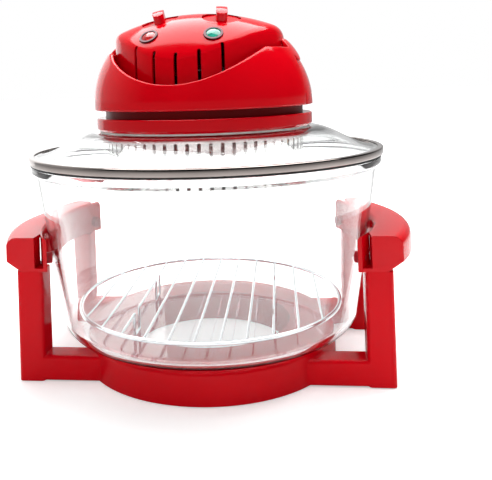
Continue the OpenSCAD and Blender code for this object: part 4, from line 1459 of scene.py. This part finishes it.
    def both_sides(self, line: Array) -> Array:
        """A border of the right half, carried on by its mirror image on the left."""
        left = np.stack([math.pi - line[:, 0], line[:, 1]], axis=1)
        return np.concatenate([line, left[-2::-1]])

    def vent(self, x: float) -> Draft:
        """Tool for one groove with round ends, its floor a little under the skin of the back wall.

        Args:
            x: place of the groove's middle line.

        Returns:
            The outline carried along Y, from the groove's floor to outside the wall.
        """
        half = self.vent_w / 2
        low = self.rim_plate_z + self.vent_up
        a = np.linspace(0, math.pi, self.vent_points)
        top = np.stack([half * np.cos(a), low + self.vent_h - half + half * np.sin(a)], axis=1)
        foot = np.stack([-half * np.cos(a), low + half - half * np.sin(a)], axis=1)
        ring = np.concatenate([top, foot]) + np.array([x, 0.0])
        floor = np.sqrt(self.skirt.radius_at(ring[:, 1]) ** 2 - ring[:, 0] ** 2) - self.groove
        return prism(ring, floor, self.outside)

    def cheek(self, side: int) -> Mesh:
        """Flat front wall of one cheek, between the skin and the dome's wall.

        Args:
            side: 1 for the right cheek, -1 for the left.

        Returns:
            A closed mesh: one four-cornered ring at each height, and lids that end in their middle.
        """
        low, high = self.cheek_ends
        z = np.linspace(self.rim_plate_z + low, self.pivot[1] - high, self.cheek_rows)
        inner = np.full_like(z, self.seam_x(self.front, self.cheek_gap))
        outer = np.sqrt(self.skirt.radius_at(z, self.cheek_sink) ** 2 - self.front**2)
        x = np.stack([inner, inner, outer, outer], axis=1) * side
        y = np.broadcast_to(self.front + self.wall * np.array([0, 1, 1, 0]), x.shape)
        ring = np.stack([x, y, np.broadcast_to(z[:, None], x.shape)], axis=-1)
        middle = ring.mean(axis=1, keepdims=True) + 0 * ring
        surface = np.concatenate([middle[:1], ring, middle[-1:]], axis=0)
        return Draft().grid(surface * MM, wrap_v=True).mesh("cheek")

    def build(self) -> None:
        """Makes the shell with the inlet's frame and opening, the vents' grooves and the cheeks."""
        low, high = (self.both_sides(line) for line in self.borders())
        draft = Plate(self.surface, low, high, self.even_wall, self.edge, self.rows).draft()
        piece = place(draft.mesh("housing_shell"), "housing_shell")
        z, back = self.rim_plate_z + self.inlet_up, self.skirt.arc_r + self.skirt.bow
        w, h = self.frame_half
        carve(piece, block((-w, self.frame_y, z - h), (w, back, z + h)), Cut.JOIN)
        w, h = self.inlet_half
        carve(piece, block((-w, self.inlet_y, z - h), (w, self.outside, z + h)))
        vents = Draft()
        for i in range(self.vent_count):
            vents.add(self.vent(self.vent_pitch * (i - (self.vent_count - 1) / 2)))
        carve(piece, vents.mesh("vents"))
        gather(piece.data, self.cheek(1), self.cheek(-1))
        piece.data.transform(self.turn())
        smooth(piece.data)
        self.stand_for(piece, "rear_housing")


@dataclass
class Dome(HeadPart):
    """Domed panel with wells for the dials, holes for the lenses and cooling slots, in millimetres."""

    split_y: float = 14.0
    floor_z: float = 232.2
    wall: float = 2.5
    fillet: tuple[float, float] = (2.6, 7.0)  # at the front, and what the shoulders add
    fillet_inside: float = 0.6
    rays: int = 421
    wall_rows: int = 22
    fillet_rows: int = 11
    panel_rows: int = 64
    dial: tuple[float, float] = (29.5, -38.0)
    lens: tuple[float, float] = (29.6, -70.0)
    lens_hole: float = 8.6
    plug_ends: tuple[float, float] = (-9.0, 12.0)
    round_sides: int = 128
    well_r: float = 18.0
    well_d: float = 5.0
    well_hole: float = 4.0
    well_round: float = 0.8
    well_lip: tuple[float, float] = (1.6, 2.4)
    boss_r: tuple[float, float] = (3.55, 8.0)
    boss_ends: tuple[float, float] = (-6.0, 0.5)
    boss_rounds: tuple[float, float] = (0.2, 0.4)
    boss_sides: int = 64
    slot_count: int = 5
    slot_pitch: float = 13.4  # degrees
    slot_w: float = 3.0
    slot_low: float = 258.2
    slot_rounds: tuple[float, float] = (0.8, 1.2)
    slot_steps: int = 4
    slot_y: tuple[float, float] = (-110.0, -70.0)

    def lifted(self, plan: Array, inset: float) -> Array:
        """Points of the plan lifted onto the panel's skin, or that far under it."""
        z = self.panel_z(plan[..., 0], plan[..., 1]) - inset
        return np.concatenate([plan, z[..., None]], axis=-1)

    def skin(self, inset: float) -> Array:
        """One skin of the dome: upright wall, fillet and panel, along rays in the plan.

        Each ray starts at the middle of the split line and runs to the round wall; the fillet is a
        parabola between wall and panel, small at the front and wide at the shoulders.

        Args:
            inset: how far the skin lies inside the outer one.

        Returns:
            Grid of points, one row for each ray.
        """
        ray = np.linspace(math.pi, 2 * math.pi, self.rays)
        d = np.stack([np.cos(ray), np.sin(ray)], axis=1)
        centre = np.array([0.0, self.split_y])
        off = self.split_y - self.dome_y
        b = d[:, 1] * off
        rim = centre + d * (-b + np.sqrt(b**2 - off**2 + (self.dome_r - inset) ** 2))[:, None]
        front, shoulder = self.fillet
        fillet = (front + shoulder * np.abs(d[:, 0]) ** 3) * (self.fillet_inside if inset else 1.0)
        corner = self.lifted(rim, inset)
        bend_z = corner[:, 2] - fillet
        up = np.linspace(0, 1, self.wall_rows)[None, :-1]
        wall_z = self.floor_z + (bend_z - self.floor_z)[:, None] * up
        wall_plan = np.broadcast_to(rim[:, None, :], (*wall_z.shape, 2))
        wall = np.concatenate([wall_plan, wall_z[..., None]], axis=-1)
        start = rim - d * fillet[:, None]
        p0, p1, p2 = np.column_stack([rim, bend_z]), corner, self.lifted(start, inset)
        t = np.linspace(0, 1, self.fillet_rows)[None, :, None]
        bend = (1 - t) ** 2 * p0[:, None] + 2 * t * (1 - t) * p1[:, None] + t**2 * p2[:, None]
        v = np.linspace(0, 1, self.panel_rows)[None, 1:, None]
        panel = self.lifted(start[:, None] * (1 - v) + centre * v, inset)
        return np.concatenate([wall, bend, panel], axis=1)

    def plug(self, spot: tuple[float, float], side: int, radius: float) -> Mesh:
        """Round tool on the panel, along the panel's normal.

        Args:
            spot: its place on the panel's right half.
            side: 1 for the right half, -1 for the left.
            radius: its radius.

        Returns:
            The tool.
        """
        low, high = self.plug_ends
        line = np.array([[0.0, low], [radius, low], [radius, high], [0.0, high]])
        mesh = lathe(line, self.round_sides, closed=False).mesh("plug")
        mesh.transform(self.on_panel(spot[0] * side, spot[1]))
        return mesh

    def well(self, side: int) -> Mesh:
        """Blind round well under a dial, hung inside the panel's hole.

        Args:
            side: 1 for the right dial, -1 for the left.

        Returns:
            The well's closed wall.
        """
        low, hole, bend = -self.well_d, self.well_hole, self.well_round
        r, outer, under = self.well_r, self.well_r + self.wall, low - self.wall
        lip, outer_lip = self.well_lip
        inside = [(hole, low, 0), (r, low, bend), (r, -lip, 0)]
        outside = [(outer, -outer_lip, 0), (outer, under, bend), (hole, under, 0)]
        mesh = lathe(outline(inside + outside), self.round_sides).mesh("well")
        mesh.transform(self.on_panel(self.dial[0] * side, self.dial[1]))
        return mesh

    def boss(self, side: int) -> Mesh:
        """Low round boss on the dome's side, round the handle's pivot.

        Args:
            side: 1 for the right side, -1 for the left.

        Returns:
            The boss.
        """
        (inner, outer), (low, high), (small, large) = self.boss_r, self.boss_ends, self.boss_rounds
        line = outline([(inner, low, 0), (inner, high, small), (outer, high, large), (outer, low, 0)])
        mesh = lathe(line, self.boss_sides).mesh("boss")
        spin = Matrix.Rotation(math.pi / 2 * side, 4, "Y")
        mesh.transform(Matrix.Translation(Vector((self.dome_r * side, *self.pivot)) * MM) @ spin)
        return mesh

    def slot(self, angle: float) -> Mesh:
        """Tool for one cooling slot, from the front wall up to the panel.

        Args:
            angle: degrees from the front.

        Returns:
            The tool.
        """
        a = math.radians(angle)
        reach = self.dome_r - self.dome_y - self.wall
        top = self.height(reach * math.sin(a), -reach * math.cos(a))
        half, low = self.slot_w / 2, self.slot_low
        foot, head = self.slot_rounds
        corners = [(-half, low, foot), (half, low, foot), (half, top, head), (-half, top, head)]
        mesh = prism(outline(corners, self.slot_steps), *self.slot_y).mesh("slot")
        mesh.transform(Matrix.Rotation(a, 4, "Z"))
        return mesh

    def build(self) -> None:
        """Closes the two skins along the split line, cuts the holes and adds wells and bosses."""
        outer, inner = self.skin(0.0), self.skin(self.wall)
        cap = (outer + inner) / 2
        there, back = (np.concatenate([cap[:1], face, cap[-1:]]) for face in (outer, inner))
        surface = np.concatenate([there, back[:, ::-1]], axis=1)
        piece = place(Draft().grid(surface * MM, wrap_v=True).mesh("dome_shell"), "dome_shell")
        middle = (self.slot_count - 1) / 2
        tools = [self.slot((i - middle) * self.slot_pitch) for i in range(self.slot_count)]
        tools += [self.plug(self.dial, side, self.well_r) for side in (-1, 1)]
        tools += [self.plug(self.lens, side, self.lens_hole) for side in (-1, 1)]
        carve(piece, gather(*tools))
        gather(piece.data, *(make(side) for side in (-1, 1) for make in (self.well, self.boss)))
        piece.data.transform(self.turn())
        smooth(piece.data)
        self.stand_for(piece, "control_dome")


@dataclass
class Works(Builder):
    """The head's base, lenses, fixings and what is inside."""

    def build(self) -> None:
        """Dresses the nodes."""
        self.keep("head_base", "dome_screws", "housing_screws", "handle_pivots")
        self.keep("power_lens", "heat_lens", "lens_bezels", "neon_lamps", "timer_unit", "thermostat_unit")
        self.keep("motor_stator", "motor_coil", "motor_brackets", "motor_bushes", "motor_rotor")
        self.keep("cooling_fan", "safety_switch", "switch_plunger", "terminal_block")
        self.keep("power_inlet", "inlet_pins", "timer_spindle", "thermostat_spindle")


@dataclass
class Dials(Builder):
    """Timer and thermostat dials, in millimetres."""

    edge: float = 0.7

    def build(self) -> None:
        """Rounds the edges of both dials."""
        for node in ("timer_knob", "thermostat_knob"):
            self.refine(node, self.edge)


# ------------------------------------------------------------------ studio


@dataclass(frozen=True)
class SoftLamp:
    """A soft rectangular lamp: place, aim and size in metres, power in watts."""

    name: str
    spot: Triple
    aim: Triple
    size: tuple[float, float]
    power: float
    mirrored: bool = True

    def hang(self) -> None:
        """Adds the lamp; one that isn't mirrored doesn't show in glossy surfaces."""
        data = bpy.data.lights.new(self.name, "AREA")
        data.shape = "RECTANGLE"
        data.size, data.size_y = self.size
        data.energy = self.power
        lamp = bpy.data.objects.new(self.name, data)
        lamp.location = self.spot
        lamp.rotation_euler = (Vector(self.aim) - Vector(self.spot)).to_track_quat("-Z", "Y").to_euler()
        lamp.visible_glossy = self.mirrored
        bpy.context.scene.collection.objects.link(lamp)


LAMPS = (
    SoftLamp("overhead", (0.1, 0.35, 1.5), (0, 0.05, 0.25), (2.0, 1.4), 46),
    SoftLamp("back_left", (-0.85, 1.2, 0.4), (0, 0, 0.28), (1.2, 0.8), 2.5),
    SoftLamp("front_fill", (-0.5, -2.2, 1.4), (0, 0, 0.15), (1.5, 1.5), 9, mirrored=False),
)


@dataclass
class Studio:
    """White room, soft lamps and the camera, in metres and degrees; the roll is in radians."""

    floor_size: float = 14.0
    floor_points: int = 9
    floor_grey: float = 0.86
    shadow_r: float = 0.3
    shadow_fade: float = 2.5  # the floor is white from this many shadow radii outwards
    floor_glow: float = 0.42
    dark_front: float = 0.015
    bright_back: float = 0.6
    bright_way: Triple = (-0.64, 0.77, 0.0)
    bright_range: tuple[float, float] = (0.05, 0.7)
    ambient: float = 0.42
    eye: Triple = (0.0774, -0.6470, 0.2591)
    heading: float = 6.82
    roll: float = 0.033
    lens: float = 48.9
    sensor: float = 36.0
    shift: tuple[float, float] = (0.0865, -0.318)
    clip: tuple[float, float] = (0.01, 100.0)

    def floor(self) -> None:
        """A wide pale floor that shows shadows near the oven and is white further out."""
        n = np.linspace(-self.floor_size, self.floor_size, self.floor_points)
        x, y = np.meshgrid(n, n, indexing="ij")
        mesh = Draft().grid(np.stack([x, y, np.zeros_like(x)], axis=-1)).mesh("floor")
        if mesh.polygons[0].normal.z < 0:
            mesh.flip_normals()
        floor = place(mesh, "floor")
        t = Tree("floor_white")
        grey = shade((1.0, 1.0, 1.0), self.floor_grey)
        t.set(Base_Color=(*grey, 1), Roughness=0.7, Specular_IOR_Level=0.2, Emission_Color=(1, 1, 1, 1))
        _, seen = t.seen()
        away = t.node("ShaderNodeVectorMath", operation="LENGTH")
        t.join(t.place, away.inputs[0])
        reach = (self.shadow_r, self.shadow_fade * self.shadow_r)
        share = t.node("ShaderNodeMath", operation="MULTIPLY")
        t.join(seen, share.inputs[0])
        t.join(t.ramp(away.outputs["Value"], reach, (self.floor_glow, 1.0)), share.inputs[1])
        t.join(share.outputs[0], t.shader.inputs["Emission Strength"])
        floor.data.materials.append(t.material)

    def sky(self, nodes: Nodes, level: float) -> bpy.types.Node:
        """A white background.

        Args:
            nodes: the world's node tree.
            level: the background's strength.

        Returns:
            Its node.
        """
        sky = nodes.node("ShaderNodeBackground")
        sky.inputs["Color"].default_value = (1, 1, 1, 1)
        sky.inputs["Strength"].default_value = level
        return sky

    def world(self) -> None:
        """White for camera and see-through rays, a plain grey level for the light on surfaces.

        Mirror rays see a room that is dark in front and bright behind: the level follows how far
        the ray points to the back and a little to the left.
        """
        world = bpy.data.worlds.new("room")
        bpy.context.scene.world = world
        world.use_nodes = True
        t = Nodes(world.node_tree)
        shown, ambient, mirror = (self.sky(t, level) for level in (1.0, self.ambient, 1.0))
        back = t.node("ShaderNodeVectorMath", operation="DOT_PRODUCT")
        back.inputs[1].default_value = self.bright_way
        t.join(t.node("ShaderNodeTexCoord").outputs["Generated"], back.inputs[0])
        level = t.ramp(back.outputs["Value"], self.bright_range, (self.dark_front, self.bright_back))
        t.join(level, mirror.inputs["Strength"])
        path, seen = t.seen()
        lit = t.pick(path.outputs["Is Glossy Ray"], ambient.outputs[0], mirror.outputs[0])
        t.join(t.pick(seen, lit, shown.outputs[0]), t.node("ShaderNodeOutputWorld").inputs["Surface"])

    def camera(self) -> None:
        """Sets the camera where the photograph was taken from: level, a little rolled, with a view shift."""
        data = bpy.data.cameras.new("camera")
        data.lens = self.lens
        data.sensor_width = self.sensor
        data.sensor_fit = "HORIZONTAL"
        data.shift_x, data.shift_y = self.shift
        data.clip_start, data.clip_end = self.clip
        eye = bpy.data.objects.new("camera", data)
        turn = Matrix.Rotation(math.radians(self.heading), 4, "Z") @ Matrix.Rotation(math.pi / 2, 4, "X")
        eye.matrix_world = Matrix.Translation(self.eye) @ turn @ Matrix.Rotation(-self.roll, 4, "Z")
        bpy.context.scene.collection.objects.link(eye)
        bpy.context.scene.camera = eye

    def build(self) -> None:
        """Sets the room, camera and lamps."""
        self.floor()
        self.world()
        self.camera()
        for lamp in LAMPS:
            lamp.hang()
        bpy.context.scene.view_settings.view_transform = "Standard"


# ------------------------------------------------------------------ the whole oven


def main() -> None:
    """Builds the oven part by part and reports each piece."""
    logging.basicConfig(level=logging.INFO, format="%(name)s: %(message)s", stream=sys.stdout)
    record = frame["record"]
    slots = {part["node"]: part["material_slot"] for part in record["subparts"]}
    bodies = {node: body for body, nodes in record["behaviour"]["bodies"].items() for node in nodes}
    wardrobe = Wardrobe()
    for part in (Stand, Bowl, Lid, Heater, Dome, RearHousing, Works, Handle, Dials):
        LOG.info("building %s", part.__name__)
        part(wardrobe, slots, bodies).build()
    Studio().build()


if __name__ == "__main__":
    main()
